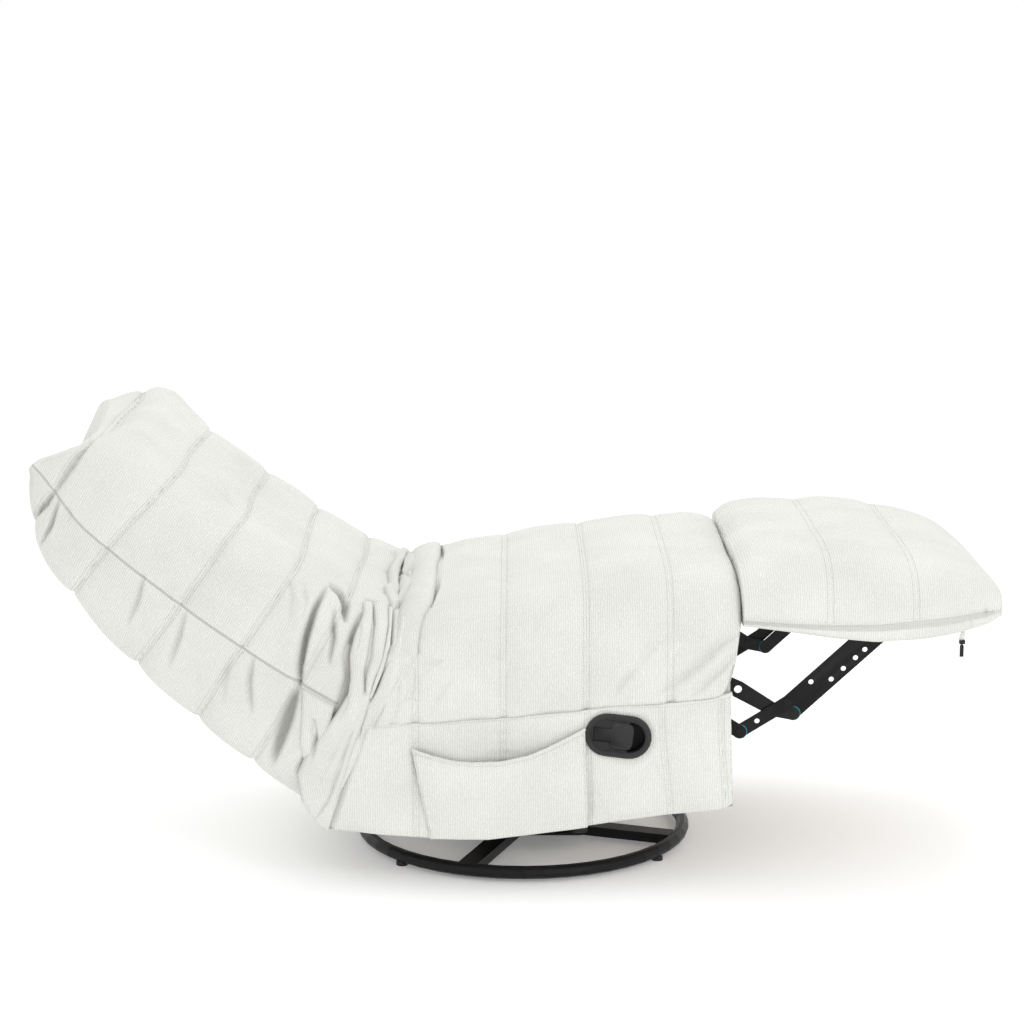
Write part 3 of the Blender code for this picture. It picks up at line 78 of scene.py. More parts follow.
# Floor and light: each lamp's name, place, target, size and power
FLOOR_REACH = 80.0
FLOOR_GREY = 0.94
FLOOR_GLOW = 0.16
FLOOR_ROUGH = 0.9
WORLD_LIGHT = 1.0
LIGHTS = (
    ("top", (0.3, 0.6, 3.2), (0.0, 0.0, 0.3), (2.0, 1.4), 14),
    ("front", (1.8, -3.4, 2.6), (0.0, 0.0, 0.4), (0.8, 0.6), 20),
    ("foot", (1.7, -2.4, 1.1), (0.75, -0.2, 0.55), (0.9, 0.7), 4.5),
    ("rear", (-2.6, 2.0, 2.2), (-0.3, 0.0, 0.4), (1.2, 1.2), 10),
)

# Fineness of smoothed tables, noise and crowns
TABLE_STEPS, TABLE_WINDOW = 400, 31
RIPPLE_WAVES, RIPPLE_SPREAD = 8, (0.7, 1.5)
CROWN_STEPS = 900

# The back's arc, as the frame's back pads have it
SPINE_START = (-0.270, 0.325)
SPINE_TILT = math.radians(26.9)
SPINE_TURN = math.radians(19)
SPINE_LENGTH = 0.766
SPINE_RADIUS = SPINE_LENGTH / SPINE_TURN

# Seams: their stitch rows, groove and puff, and the puckers beside them
FAR_OFF = 1.0
STITCH_OFFSET = 0.0055
STITCH = 0.0052
UNSTITCHED = 0.75 * STITCH
SEAM_GROOVE, SEAM_WIDTH, GROOVE_POWER = 0.0065, 0.010, 1.3
PUFF_REACH, PUFF_POWER = 0.045, 1.5
PUCKER, PUCKER_LENGTH, PUCKER_REACH = 0.0009, 0.021, 0.022
PUCKER_SWAY, PUCKER_PACE = 2.2, 23.0
LAP_REACH = 0.022

# Folds drawn in the picture
STROKE_STEPS, STROKE_REACH, STROKE_END = 24, 3, 0.45
STEEP_SIDE, GENTLE_SIDE, SIDE_TURN = 0.62, 1.7, 0.5
# How deep a fold must be for the painted shade in the cloth's colour to be full, and how that shade grows
FOLD_SHADE, FOLD_SHADE_POWER = 0.016, 1.5
FOLDS_FROM_MIDDLE = (0.05, 0.22)

# Wrinkles of each cover: height, wavelength, seed, pace across
WRINKLES = {
    "back": (0.0016, 0.11, 5, 0.5),
    "seat": (0.0012, 0.12, 9, 0.6),
    "panel": (0.0012, 0.10, 11, 1.0),
    "footrest": (0.0010, 0.12, 21, 1.0),
    "pocket": (0.0008, 0.09, 31, 1.0),
    "fold": (0.0012, 0.06, 47, 1.0),
}
PUFFS = {"back": 0.006, "seat": 0.007, "panel": 0.006, "footrest": 0.006, "pocket": 0.002}

# Where each cover's cloth starts on the weave
WEAVE_START = {"panel": 3.0, "pocket": 5.0, "footrest": 7.0, "fold": 9.0}

# Back cover; powers are a crown's squareness at the crease and what it loses towards the head
BACK_HALF_WIDTH = 0.384
BACK_SEAMS = ((0.155, 0.0), (0.279, 0.0), (0.417, 0.0), (0.576, 0.0), (0.717, 0.046))
BACK_SEAM_LEAN_REACH = 0.15
BACK_SEAM_WANDER, BACK_WANDER_LENGTH = 0.004, 0.35
BACK_LAP = 0.0035
BACK_LONG_SEAMS = (-0.19, 0.0, 0.19)
BACK_EDGE_DEPTH, BACK_LONG_DEPTH = 0.16, 0.5
BACK_END = 0.782
BACK_TIP = 0.16
BACK_SPACING = 1.35
BACK_WAIST = 0.010
BACK_CROWN = ((0.0, 0.150), (0.03, 0.176), (0.12, 0.180), (0.22, 0.174), (0.6, 0.170), (0.69, 0.171),
              (0.735, 0.150), (0.765, 0.106), (0.782, 0.018))
BACK_REAR = ((0.0, 0.222), (0.05, 0.205), (0.26, 0.182), (0.443, 0.154), (0.60, 0.122), (0.68, 0.102),
             (0.735, 0.074), (0.765, 0.046), (0.782, 0.012))
BACK_UPPER_POWERS = ((8.0, 2.0), (3.0, 0.5))
BACK_LOWER_POWERS = ((14, 5), (6, 2.5))
BACK_EAR, BACK_EAR_POWER = 0.036, 2.5
BACK_EAR_LIFT, BACK_EAR_LIFT_POWER = 0.022, 3
BACK_HEAD_EASE = (0.004, 0.03)
BACK_REAR_FOLDS = (0.34, 0.376)
BACK_STEPS, BACK_ROUND = 290, 560

# Seat cover: side-view lines from its lower edge to its crown, front to back, and how far along each lies
SEAT_HALF_WIDTH = 0.386
SEAT_TAPER = 0.006
SEAT_SKIRT = 0.010
SEAT_LOW = ((0.0, 0.384, 0.440), (0.03, 0.376, 0.402), (0.07, 0.364, 0.376), (0.12, 0.333, 0.368),
            (0.22, 0.245, 0.3586), (0.34, 0.140, 0.353), (0.39, 0.096, 0.3454), (0.55, -0.044, 0.3323),
            (0.70, -0.180, 0.3235), (0.78, -0.250, 0.319), (0.82, -0.290, 0.3165), (0.86, -0.325, 0.235),
            (0.90, -0.358, 0.150), (0.94, -0.380, 0.140), (1.0, -0.400, 0.165))
SEAT_TOP = ((0.0, 0.3965, 0.500), (0.012, 0.3965, 0.562), (0.03, 0.391, 0.581), (0.07, 0.366, 0.592),
            (0.12, 0.333, 0.600), (0.22, 0.245, 0.597), (0.34, 0.140, 0.585), (0.39, 0.096, 0.580),
            (0.55, -0.044, 0.558), (0.68, -0.150, 0.532), (0.73, -0.180, 0.530), (0.78, -0.205, 0.524),
            (0.84, -0.235, 0.505), (0.92, -0.275, 0.500), (1.0, -0.320, 0.505))
SEAT_POWERS = ((7.5, 1.5), (2.7, 0.0))
SEAT_INSIDE_POWERS = (30, 30)
SEAT_CROSS_SEAMS = (0.266, 0.113, -0.038, -0.198)
SEAT_LONG_SEAMS = (-0.285, -0.095, 0.095, 0.285)
SEAT_CROSS_DEPTH, SEAT_LONG_DEPTH, SEAT_SKIRT_DEPTH = 0.55, 0.3, 0.12
SEAT_TOP_BAND = 0.075
SEAT_FRONT_STEPS, CREASE_STEPS = 190, 140
CREASE_START = 0.735
REAR_SPAN = (CREASE_START - 0.05, 0.92)
SEAT_ROUND, SEAT_INSIDE = 400, 60
SEAT_FLOOR = (0.4565, 0.0872, -0.129)
SEAT_WADDING, CREASE_WADDING, LEAST_HOLLOW = 0.02, 0.03, 0.02

# Bunches over the crease's top: how far down the turn each seam reaches, and the bunches' own waves
CROSS_SEAM_TURN, LONG_SEAM_TURN, SKIRT_TURN = 0.25, 0.05, 0.3
PUFF_ENDS = (0.15, 0.35)
BUNCH_START, BUNCH_END = (0.0, 0.06), (0.93, 1.0)
BUNCH_SIDES, BUNCH_SIDE_LOSS = (0.30, 0.37), 0.65
BUNCH_WANDER = ((0.16, 7.0, 1.0), (0.10, 17.0, 2.0), (0.05, 41.0, 0.0))
BUNCH_COUNT, BUNCH_POWER, BUNCH_MEAN = 6.0, 0.65, 0.55
FINE_COUNT, FINE_WANDER, FINE_POWER, FINE_MEAN = 11, 1.7, 0.8, 0.6
BUNCH_HEIGHT, BUNCH_SWELL, FINE_HEIGHT = 0.010, 0.003, 0.0035
SWELL_PACE, SWELL_TURN = 11, 4

# Side panels: lower edge and upper seam in the side view, and the section's corners at each
PANEL_LOW = ((0.0, -0.3640, 0.1220), (0.13, -0.2646, 0.1100), (0.26, -0.1745, 0.1042),
             (0.40, -0.0661, 0.1042), (0.60, 0.0882, 0.1234), (0.83, 0.2624, 0.1483),
             (0.96, 0.3610, 0.1572), (1.0, 0.3872, 0.1662))
PANEL_SEAM = ((0.0, -0.2960, 0.3170), (0.13, -0.1987, 0.3229), (0.30, -0.0439, 0.3323),
              (0.48, 0.0963, 0.3454), (0.60, 0.1600, 0.3548), (0.74, 0.2454, 0.3586),
              (0.90, 0.3326, 0.3680), (1.0, 0.3790, 0.3800))
PANEL_HALF_WIDTH = 0.386
PANEL_INSIDE = 0.2975
PANEL_FOOT = ((-0.020, -0.001), (-0.006, 0.003), (0.0, 0.016))
PANEL_BULGE = 0.001
PANEL_HEAD = ((0.0, -0.003), (-0.002, -0.0005), (-0.0135, 0.001))
PANEL_FLOOR_GAP = 0.0035
PANEL_LEAST_RISE = 0.02
PANEL_FACE = 0.012
PANEL_RIM, PANEL_RIM_DROP = 0.012, 0.010
PANEL_EDGE_SCALE, PANEL_EDGE_REACH = 0.2, 0.03
PANEL_STEPS, PANEL_ROUND, PANEL_BACKING = 300, 150, 12
PANEL_CROSS_SEAMS = ((0.359, 0.012), (0.251, 0.018), (0.116, 0.004), (-0.038, 0.0), (-0.198, 0.0))
PANEL_LEAN_SPAN = (0.34, 0.14)
PANEL_CROSS_DEPTH, PANEL_EDGE_DEPTH, PANEL_EDGE_OFFSET = 0.45, 0.25, 0.003

# Footrest cover
FOOT_HALF_WIDTH = 0.380
FOOT_REAR, FOOT_TIP = 0.3975, 0.886
FOOT_EVEN = 0.55
FOOT_TAPER, FOOT_TAPER_START = 0.010, 0.70
FOOT_WAIST, FOOT_WAIST_START, FOOT_WAIST_LENGTH = 0.008, 0.400, 0.486
FOOT_SEAM = ((0.395, 0.5130), (0.4033, 0.5124), (0.4848, 0.5068), (0.5700, 0.5031), (0.6477, 0.5050),
             (0.7450, 0.5142), (0.8120, 0.5217), (0.8500, 0.5272), (0.8860, 0.5340))
FOOT_CROWN = ((0.395, 0.585), (0.402, 0.600), (0.425, 0.616), (0.480, 0.628), (0.600, 0.632), (0.680, 0.627),
              (0.760, 0.612), (0.820, 0.591), (0.855, 0.573), (0.875, 0.559), (0.886, 0.545))
FOOT_FLOOR = ((0.395, 0.5030), (0.4863, 0.4895), (0.5683, 0.4765), (0.6411, 0.4690), (0.7263, 0.4746),
              (0.7950, 0.4858), (0.8550, 0.5007), (0.8800, 0.5140), (0.8860, 0.5230))
FOOT_POWERS = ((7.0, 1.5), (2.4, 0.0))
FOOT_BOXING_POWER = 44
FOOT_CORNER, FOOT_CORNER_START, FOOT_CORNER_POWER = 0.022, 0.74, 5
FOOT_RECESS = (0.4355, 0.8265, 0.2886, 0.5256)
FOOT_CROSS_SEAMS = (0.556, 0.712)
FOOT_LONG_SEAMS = (-0.19, 0.0, 0.19)
FOOT_EDGE_DEPTH, FOOT_CROSS_DEPTH, FOOT_LONG_DEPTH = 0.90, 0.40, 0.18
FOOT_EDGE_REACH = 0.05
FOOT_STEPS, FOOT_ROUND, FOOT_UNDER = 128, 210, 90

# Handle's window in the near panel, as the frame has it
HANDLE_PLACE = (0.172, 0.301)
HANDLE_TILT = math.radians(-7)
HANDLE_WINDOW = (0.112, 0.070)
HANDLE_MARGIN = 0.005
HANDLE_BED = 0.3797
HANDLE_BED_REACH = (0.001, 0.014)
HANDLE_DEPTH, HANDLE_WALL = 0.060, 0.003

# The paddle's outline and the cup's opening, along and across the handle, and the plate round them
PADDLE_NECK = (-0.0452, -0.014, 0.0245)
PADDLE_HEAD = (-0.014, 0.027, 0.050, 0.011)
CUP_OPENING = (0.100, 0.058)
PLATE_GAP = 0.0009
PLATE_FIT = 0.0004
PLATE_FACES = (0.3819, 0.3839, 0.3842)
PLATE_TURNS, PLATE_REACHES = 480, 1600
FINGER_EDGE = 0.020

# Nylon washers: label, body, pivot and inner face's place, then the ring's outline as (radius, outwards)
WASHERS = (("front", "carrier_links", (0.504, 0.311), 0.2594),
           ("lower", "lower_links", (0.404, 0.278), 0.2686))
WASHER_OUTLINE = ((0.0052, 0), (0.0134, 0), (0.0138, 0.0004), (0.0138, 0.0010), (0.0134, 0.0014),
                  (0.0052, 0.0014))
WASHER_SIDES = 40

# Zipper tape: half width, rise into the boxing, gap above the slider, sway and flatness
TAPE = {"half_width": 0.0042, "rise": 0.006, "gap": 0.001, "sway": 0.0015, "turns": 5, "flatness": 0.35}
TAPE_STEPS = 24

# Folds, drawn in the picture: points in pixels, half width in pixels, height in metres
BACK_FOLDS = (
    (((327, 587), (316, 610), (307, 638), (301, 668), (299, 690)), 3.0, -0.026),
    (((298, 690), (289, 722), (272, 766)), 5.0, -0.026),
    (((309, 600), (295, 640), (286, 680)), 9.0, 0.010),
    (((290, 573), (293, 598), (288, 622)), 2.6, -0.004),
    (((302, 578), (306, 600), (301, 622)), 2.6, -0.004),
    (((254, 655), (250, 682), (252, 713)), 3.0, -0.010),
    (((236, 640), (226, 672), (222, 706)), 4.0, -0.004),
    (((186, 609), (180, 637), (169, 667)), 3.0, -0.009),
    (((144, 574), (139, 600), (128, 624)), 2.6, -0.008),
    (((54, 494), (46, 507), (28, 520)), 2.4, -0.013),
    (((59, 500), (52, 526), (38, 548)), 2.2, -0.012),
    (((68, 506), (70, 516), (68, 522)), 2.0, -0.003),
    (((95, 431), (88, 443), (76, 464), (55, 493)), 2.0, -0.009),
    (((100, 404), (96, 414), (90, 422)), 2.4, -0.005),
    (((122, 396), (118, 402), (112, 408)), 2.0, -0.004),
    (((208, 452), (225, 480), (232, 508)), 5.0, -0.005),
    (((120, 420), (150, 440), (176, 462)), 4.0, -0.003),
    (((270, 470), (282, 498), (286, 520)), 4.0, -0.004),
)
CREASE_FOLDS = (
    (((392, 604), (391, 628), (390, 642), (387, 657), (379, 680), (370, 702)), 2.6, -0.028),
    (((404, 598), (402, 640), (396, 668), (384, 702)), 8.0, 0.006),
    (((366, 599), (376, 603), (387, 607)), 2.2, -0.012),
    (((329, 584), (342, 590), (349, 602), (346, 622)), 2.8, -0.022),
    (((335, 607), (335, 638), (329, 665)), 2.4, -0.014),
    (((364, 612), (356, 630), (349, 654), (351, 679), (343, 709), (330, 728), (314, 748), (296, 774)),
     3.4, -0.022),
    (((438, 554), (440, 570), (438, 586), (430, 606)), 2.2, -0.013),
    (((420, 560), (416, 580), (408, 592)), 2.4, -0.009),
    (((407, 563), (402, 571), (397, 579)), 2.0, -0.022),
    (((392, 600), (400, 606), (409, 600)), 2.2, -0.010),
)
SEAT_FOLDS = (
    (((740, 633), (722, 644), (702, 664), (676, 684), (655, 697)), 5.0, -0.007),
    (((730, 648), (708, 670), (688, 688), (672, 697)), 4.5, 0.004),
    (((737, 653), (720, 672), (702, 689), (688, 698)), 4.0, -0.006),
    (((638, 666), (626, 679), (613, 697)), 4.5, -0.005),
    (((660, 642), (646, 656), (640, 668)), 5.0, -0.003),
    (((452, 678), (438, 698), (427, 720)), 4.0, -0.003),
    (((414, 690), (406, 698), (400, 704)), 3.0, -0.0025),
    (((560, 600), (540, 620), (530, 640)), 5.0, -0.002),
)
FOOT_FOLDS = (
    (((985, 606), (987, 614), (989, 624)), 1.8, -0.006),
    (((990, 610), (995, 615), (1000, 616)), 1.6, -0.004),
    (((850, 622), (880, 622), (910, 618)), 3.0, 0.002),
)
PANEL_FOLDS = (
    (((402, 730), (390, 742), (376, 756)), 4.0, -0.003),
    (((400, 760), (386, 776), (372, 790)), 4.0, -0.0025),
    (((649, 756), (656, 770), (664, 784)), 4.0, -0.003),
    (((497, 726), (487, 740), (477, 754)), 4.5, -0.002),
    (((690, 720), (700, 750), (704, 780)), 5.0, -0.002),
)

# Flap over the panel's rear edge: its left and right edges in the picture, from the top down, and its form
FLAP = (
    ((352, 688), (337, 712), (320, 735), (304, 757), (296, 775), (301, 802), (320, 829)),
    ((373, 690), (369, 706), (363, 726), (355, 748), (346, 781), (337, 808), (328, 832)),
)
FLAP_FORM = (0.015, 4, 0.12)

# Folds of the crease on each side: name, left and right edge, how far it stands off, flatness, tail's share
PLEAT_ROOT, PLEAT_SINK, PLEAT_THICK = 0.379, 0.002, 0.008
# The folds' blunt top, how narrow the painted shade along their long edges is, and the share of crease
# height they take
PLEAT_BLUNT, PLEAT_EDGE_SHADE_NARROWING, CREASE_SHARE = 0.05, 1.25, 0.5
PLEAT_ROWS, PLEAT_COLUMNS = 96, 32
BASE_SOFTENED, NORMAL_SOFTENED = 6, 20
COARSE, SIGHT_STEPS = 3, 90
NEAR_PLEATS = ("middle", "outer")
PLEATS = (
    ("inner", ((386, 606), (387, 630), (382, 656), (374, 680), (368, 698)),
     ((392, 608), (391, 630), (390, 648), (383, 672), (371, 701)), 0.010, 2.4, 0.15),
    ("middle", ((371, 602), (373, 626), (370, 656), (366, 672), (365, 686), (365, 702)),
     ((387, 604), (388, 628), (383, 660), (375, 680), (370, 696), (367, 706)), 0.013, 2.4, 0.15),
    ("outer",
     ((362, 600), (362, 616), (355, 632), (349, 654), (350, 676), (348, 692), (342, 712), (332, 732)),
     ((372, 602), (372, 626), (369, 656), (365, 672), (366, 690), (362, 714), (351, 736)), 0.015, 2.2, 0.15),
    ("pinch", ((301, 688), (300, 713), (299, 742), (303, 759)),
     ((336, 706), (330, 730), (321, 746), (309, 760)), 0.009, 2.4, 0.15),
    ("roll_front",
     ((422, 555), (415, 566), (409, 582), (399, 602), (394, 620), (393, 642), (388, 664), (374, 702)),
     ((434, 555), (438, 563), (438, 580), (434, 602), (424, 618), (419, 640), (418, 664), (413, 700)),
     0.017, 2.6, 0.95),
    ("roll_rear", ((410, 557), (405, 563), (401, 571), (398, 581)),
     ((418, 558), (420, 564), (413, 575), (403, 586)), 0.021, 2.2, 0.25),
    ("twist_high", ((397, 555), (392, 562), (387, 570), (386, 578), (390, 586)),
     ((404, 556), (405, 562), (400, 570), (397, 577), (399, 586)), 0.021, 2.2, 0.25),
    ("twist_low", ((381, 589), (386, 600), (391, 612)),
     ((392, 588), (399, 601), (399, 611)), 0.018, 2.2, 0.20),
)
PLEAT_CREASES = (
    (((411, 558), (412, 565), (406, 577)), 1.4, -0.009),
    (((399, 556), (397, 564), (392, 572), (391, 582)), 1.3, -0.008),
    (((356, 612), (360, 630), (357, 650)), 2.0, -0.006),
    (((352, 690), (346, 706), (338, 720)), 2.0, -0.006),
    (((370, 640), (372, 655), (368, 672)), 1.8, -0.005),
    (((314, 718), (317, 738), (313, 757)), 2.4, -0.022),
    (((354, 726), (341, 764), (329, 799), (315, 818)), 1.8, -0.013),
    (((345, 726), (332, 756), (318, 784)), 3.0, -0.004),
)

# Round cords, and the welt between the seat's side and the panel
TUBE_SIDES, TUBE_ACROSS = 10, 0.7
WELT, WELT_SUNK, WELT_STEPS = 0.0045, 0.0015, 160

# Pocket: its hem and foot in the side view, how its cloth stands off the panel, and its seams
POCKET_HEM = ((-0.2045, 0.2757), (-0.1663, 0.2643), (-0.1316, 0.2560), (-0.0969, 0.2529), (-0.0439, 0.2548),
              (0.0090, 0.2662), (0.0437, 0.2813), (0.0880, 0.3030), (0.1110, 0.3146))
POCKET_FOOT = ((-0.1727, 0.1075), (-0.0661, 0.1070), (0.0882, 0.1264), (0.1170, 0.1303))
POCKET_COLUMNS, POCKET_ROWS = 96, 56
POCKET_GAP, POCKET_SEWN, POCKET_STAND, POCKET_BULGE = 0.0025, 0.0035, 0.0115, 0.0012
POCKET_OPENING = (0.6, 1.5)
POCKET_THICK = 0.0022
POCKET_SIDE_SEAM, POCKET_SIDE_DEPTH = (0.3, 0.002), 0.12
POCKET_HEM_SEAM = (0.15, 0.001)
PIPING, PIPING_RISE, PIPING_STEPS = 0.0027, 0.0012, 150

# Fabric: sizes of its weave and stitches, colours, shares of each in tone and height, and gloss; the fold
# and seam-line colours are painted shade
RIB, SLUB = 0.0042, 0.0036
THREAD, CREASE = 0.0012, 0.0011
FABRIC_LIGHT = (0.815, 0.82, 0.785, 1)
FABRIC_DARK = (0.49, 0.495, 0.45, 1)
# Stitch thread colour, which also paints shade along each seam's line; then the painted shade in deep folds
THREAD_AND_PAINTED_SEAM_SHADE = (0.30, 0.30, 0.25, 1)
PAINTED_FOLD_SHADE = (0.20, 0.20, 0.165, 1)
WEAVE_WOBBLE, WEAVE_SLIP = {"Scale": 90.0, "Detail": 3.0}, 1.6
YARN_FUZZ, FUZZ_SHARE = {"Scale": 1400.0, "Detail": 4.0, "Roughness": 0.7}, 0.30
CLOTH_CLOUDS, CLOUD_TONE, YARN_TONE = {"Scale": 6.0, "Detail": 3.0}, 0.50, 0.62
STAGGER = 0.5
SLUB_SHARE, SLUB_LEAST = 0.6, 0.4
CHANCE_SHARE, CHANCE_LEAST = 0.45, 0.62
DASH_GAIN, DASH_LIFT = 1.4, 0.9
# Shares in the cloth's colour of the painted fold shade, the painted seam-line shade and the stitch thread
PAINTED_FOLD_SHADE_MIX, PAINTED_SEAM_SHADE_MIX, STITCH_MIX = 0.50, 0.35, 0.42
STITCH_DIP, CREASE_DIP = 1.2, 1.6
FABRIC_BUMP = (0.55, 0.0011)
FABRIC_ROUGH, CHANCE_ROUGH = 0.84, 0.10
FABRIC_GLOSS = {"Sheen_Weight": 0.25, "Sheen_Roughness": 0.55, "Sheen_Tint": (1.0, 1.0, 0.97, 1),
                "Specular_IOR_Level": 0.18}

# Painted, plated and moulded surfaces, and the plywood
FINE_GRAIN, FINE_BUMP = {"Detail": 5.0, "Roughness": 0.6}, 0.5
GLOSS_CLOUDS, GLOSS_SPREAD = {"Scale": 14.0, "Detail": 4.0}, 0.10
MOTTLE_GAIN, MOTTLE_LIFT = 1.35, 0.002
# How sharp an edge must be for the lighter edge colour to start, and how fast it comes in
SHARP_EDGE_FROM, SHARP_EDGE_GAIN = 0.52, 9.0
HARD_LOOKS = {
    "black_steel": dict(colour=(0.006, 0.006, 0.0065, 1), rough=0.34, specular=0.14,
                        sharp_edge_colour=(0.03, 0.03, 0.031, 1)),
    "zinc": dict(colour=(0.42, 0.42, 0.44, 1), rough=0.38, metallic=1.0),
    "black_plastic": dict(colour=(0.009, 0.009, 0.010, 1), rough=0.55, grain=900.0, bump_size=0.0002,
                          specular=0.16, sharp_edge_colour=(0.07, 0.07, 0.07, 1)),
    "rubber": dict(colour=(0.018, 0.018, 0.018, 1), rough=0.8, grain=500.0),
    "nylon": dict(colour=(0.02, 0.22, 0.30, 1), rough=0.45),
}
WOOD_STRETCH = (1.0, 9.0, 9.0)
WOOD_GRAIN = {"Scale": 26.0, "Detail": 6.0, "Distortion": 0.8}
WOOD_DARK, WOOD_LIGHT = (0.36, 0.23, 0.12, 1), (0.62, 0.46, 0.29, 1)
WOOD_BUMP, WOOD_ROUGH = (0.4, 0.0003), 0.62


def smooth(low, high, value):
    """An even turn from 0 at low to 1 at high."""
    share = np.clip((np.asarray(value, float) - low) / (high - low), 0, 1)
    return share * share * (3 - 2 * share)


def along(table, value):
    """A smoothed reading of a table of (place, size) pairs."""
    places, sizes = zip(*table)
    fine = np.linspace(places[0], places[-1], TABLE_STEPS)
    read = np.interp(fine, places, sizes)
    kernel = np.hanning(TABLE_WINDOW) / np.hanning(TABLE_WINDOW).sum()
    margin = TABLE_WINDOW // 2
    padded = np.concatenate([np.full(margin, read[0]), read, np.full(margin, read[-1])])
    return np.interp(value, fine, np.convolve(padded, kernel, "valid"))


def trace(table, place):
    """(x, z) read from a table of (place, x, z)."""
    return np.stack([along([(row[0], row[axis]) for row in table], place) for axis in (1, 2)], -1)


def eased(powers, share):
    """A crown's two powers, each with its loss at this share of the way."""
    return [start - loss * share for start, loss in powers]


def ripple(points, wavelength, seed):
    """Smooth noise of about unit height, the same on each run."""
    rng = np.random.default_rng(seed)
    total = np.zeros(points.shape[:-1])
    for _ in range(RIPPLE_WAVES):
        direction = rng.normal(size=points.shape[-1])
        direction /= np.linalg.norm(direction)
        pace = 2 * math.pi / (wavelength * rng.uniform(*RIPPLE_SPREAD))
        total += np.sin(points @ direction * pace + rng.uniform(0, 2 * math.pi))
    return total / math.sqrt(RIPPLE_WAVES)


def wrinkles(cover, grid):
    height, wavelength, seed, pace_across = WRINKLES[cover]
    return height * ripple(grid * (1.0, pace_across, 1.0), wavelength, seed)


def resample(points, count):
    """The same open line with its points evenly spaced."""
    points = np.asarray(points, float)
    steps = np.linalg.norm(np.diff(points, axis=0), axis=1)
    run = np.concatenate([[0], np.cumsum(steps)])
    even = np.linspace(0, run[-1], count)
    return np.stack([np.interp(even, run, column) for column in points.T], 1)


def crown_line(width, height, side_power, crown_power, count):
    """Evenly spaced (across, up) points over a crown, from the near seam to the far one."""
    turn = np.linspace(0, np.pi, CROWN_STEPS)
    cosine, sine = np.cos(turn), np.abs(np.sin(turn))
    across = -width * np.sign(cosine) * np.abs(cosine) ** (2 / side_power)
    return resample(np.stack([across, height * sine ** (2 / crown_power)], 1), count)


def back_place(s, y, n):
    """World points at s along the back's arc, y across it and n off it, towards the sitter."""
    tilt = SPINE_TILT + np.asarray(s, float) / SPINE_RADIUS
    x = SPINE_START[0] - SPINE_RADIUS * (np.sin(tilt) - math.sin(SPINE_TILT))
    z = SPINE_START[1] + SPINE_RADIUS * (math.cos(SPINE_TILT) - np.cos(tilt))
    return np.stack([x + n * np.sin(tilt), y + 0 * x, z + n * np.cos(tilt)], -1)


def plane_section(low, top, line):
    """World points of an (across, up) line drawn in the plane through low and top."""
    rise = np.asarray(top) - np.asarray(low)
    up = rise / np.linalg.norm(rise)
    return np.stack([low[0] + line[:, 1] * up[0], line[:, 0], low[1] + line[:, 1] * up[1]], -1)


def outward(grid):
    """Normals of a closed loft, turned so that they point away from its own middle."""
    around = np.roll(grid, -1, 1) - np.roll(grid, 1, 1)
    normal = np.cross(np.gradient(grid, axis=0), around)
    normal /= np.maximum(np.linalg.norm(normal, axis=-1, keepdims=True), 1e-12)
    middle = grid.mean(1, keepdims=True)
    return -normal if ((grid - middle) * normal).sum(-1).mean() < 0 else normal


def girth(grid):
    """Distance along each loop from its first point."""
    steps = np.linalg.norm(np.diff(grid, axis=1), axis=-1)
    return np.concatenate([np.zeros((len(grid), 1)), np.cumsum(steps, 1)], 1)


def side_mask(grid, inner, outer):
    return smooth(inner, outer, np.abs(grid[..., 1]))


class Seams:
    """Distances to the nearest sewn seam and the run along it, kept while seams are added."""

    def __init__(self, shape):
        self.distance = np.full(shape, FAR_OFF)
        self.run = np.zeros(shape)
        self.groove = np.zeros(shape)
        self.lapped = np.zeros(shape)

    def add(self, distance, run, depth=1.0, rows=True, lap=0.0, stitched=True):
        self.lapped += lap * np.where(distance > 0, np.exp(-np.abs(distance) / LAP_REACH), 0)
        distance = np.abs(distance)
        self.groove = np.maximum(self.groove, depth * np.exp(-(distance / SEAM_WIDTH) ** GROOVE_POWER))
        if rows:
            nearer = distance < self.distance
            self.distance = np.where(nearer, distance, self.distance)
            self.run = np.where(nearer, run if stitched else UNSTITCHED, self.run)

    def relief(self, cover):
        """How far the cover stands off its base: up between seams and down into them."""
        puff = PUFFS[cover]
        swell = puff * (1 - np.exp(-(self.distance / PUFF_REACH) ** PUFF_POWER)) - puff / 2
        wave = np.sin(self.run * 2 * math.pi / PUCKER_LENGTH + PUCKER_SWAY * np.sin(self.run * PUCKER_PACE))
        pucker = PUCKER * wave * np.exp(-self.distance / PUCKER_REACH)
        return swell - SEAM_GROOVE * self.groove + self.lapped + pucker

    def fields(self, first, second, **more):
        """What the fabric's shader reads: the place on the weave, the nearest seam and the run along it."""
        weave = np.stack([first, second, np.zeros_like(first)], -1)
        return {"cloth": weave, "seam": self.distance, "seam_run": self.run, **more}


def no_seams(shape):
    """Seams of a piece that has none."""
    seams = Seams(shape)
    seams.run = np.full(shape, FAR_OFF)
    return seams


def in_picture(points):
    """Where points fall in the picture, in pixels, with the far half folded over onto the near half."""
    dx = points[..., 0] - CAMERA_PLACE[0]
    dy = -np.abs(points[..., 1]) - CAMERA_PLACE[1]
    dz = points[..., 2] - CAMERA_PLACE[2]
    depth, up = dy * LEVEL - dz * DIP, dy * DIP + dz * LEVEL
    return PICTURE / 2 + FOCAL * dx / depth, PICTURE / 2 - FOCAL * up / depth


def sight(u, v):
    """The direction of the line of sight through a pixel."""
    right, up = (u - PICTURE / 2) / FOCAL, (PICTURE / 2 - v) / FOCAL
    return right, LEVEL + up * DIP, up * LEVEL - DIP


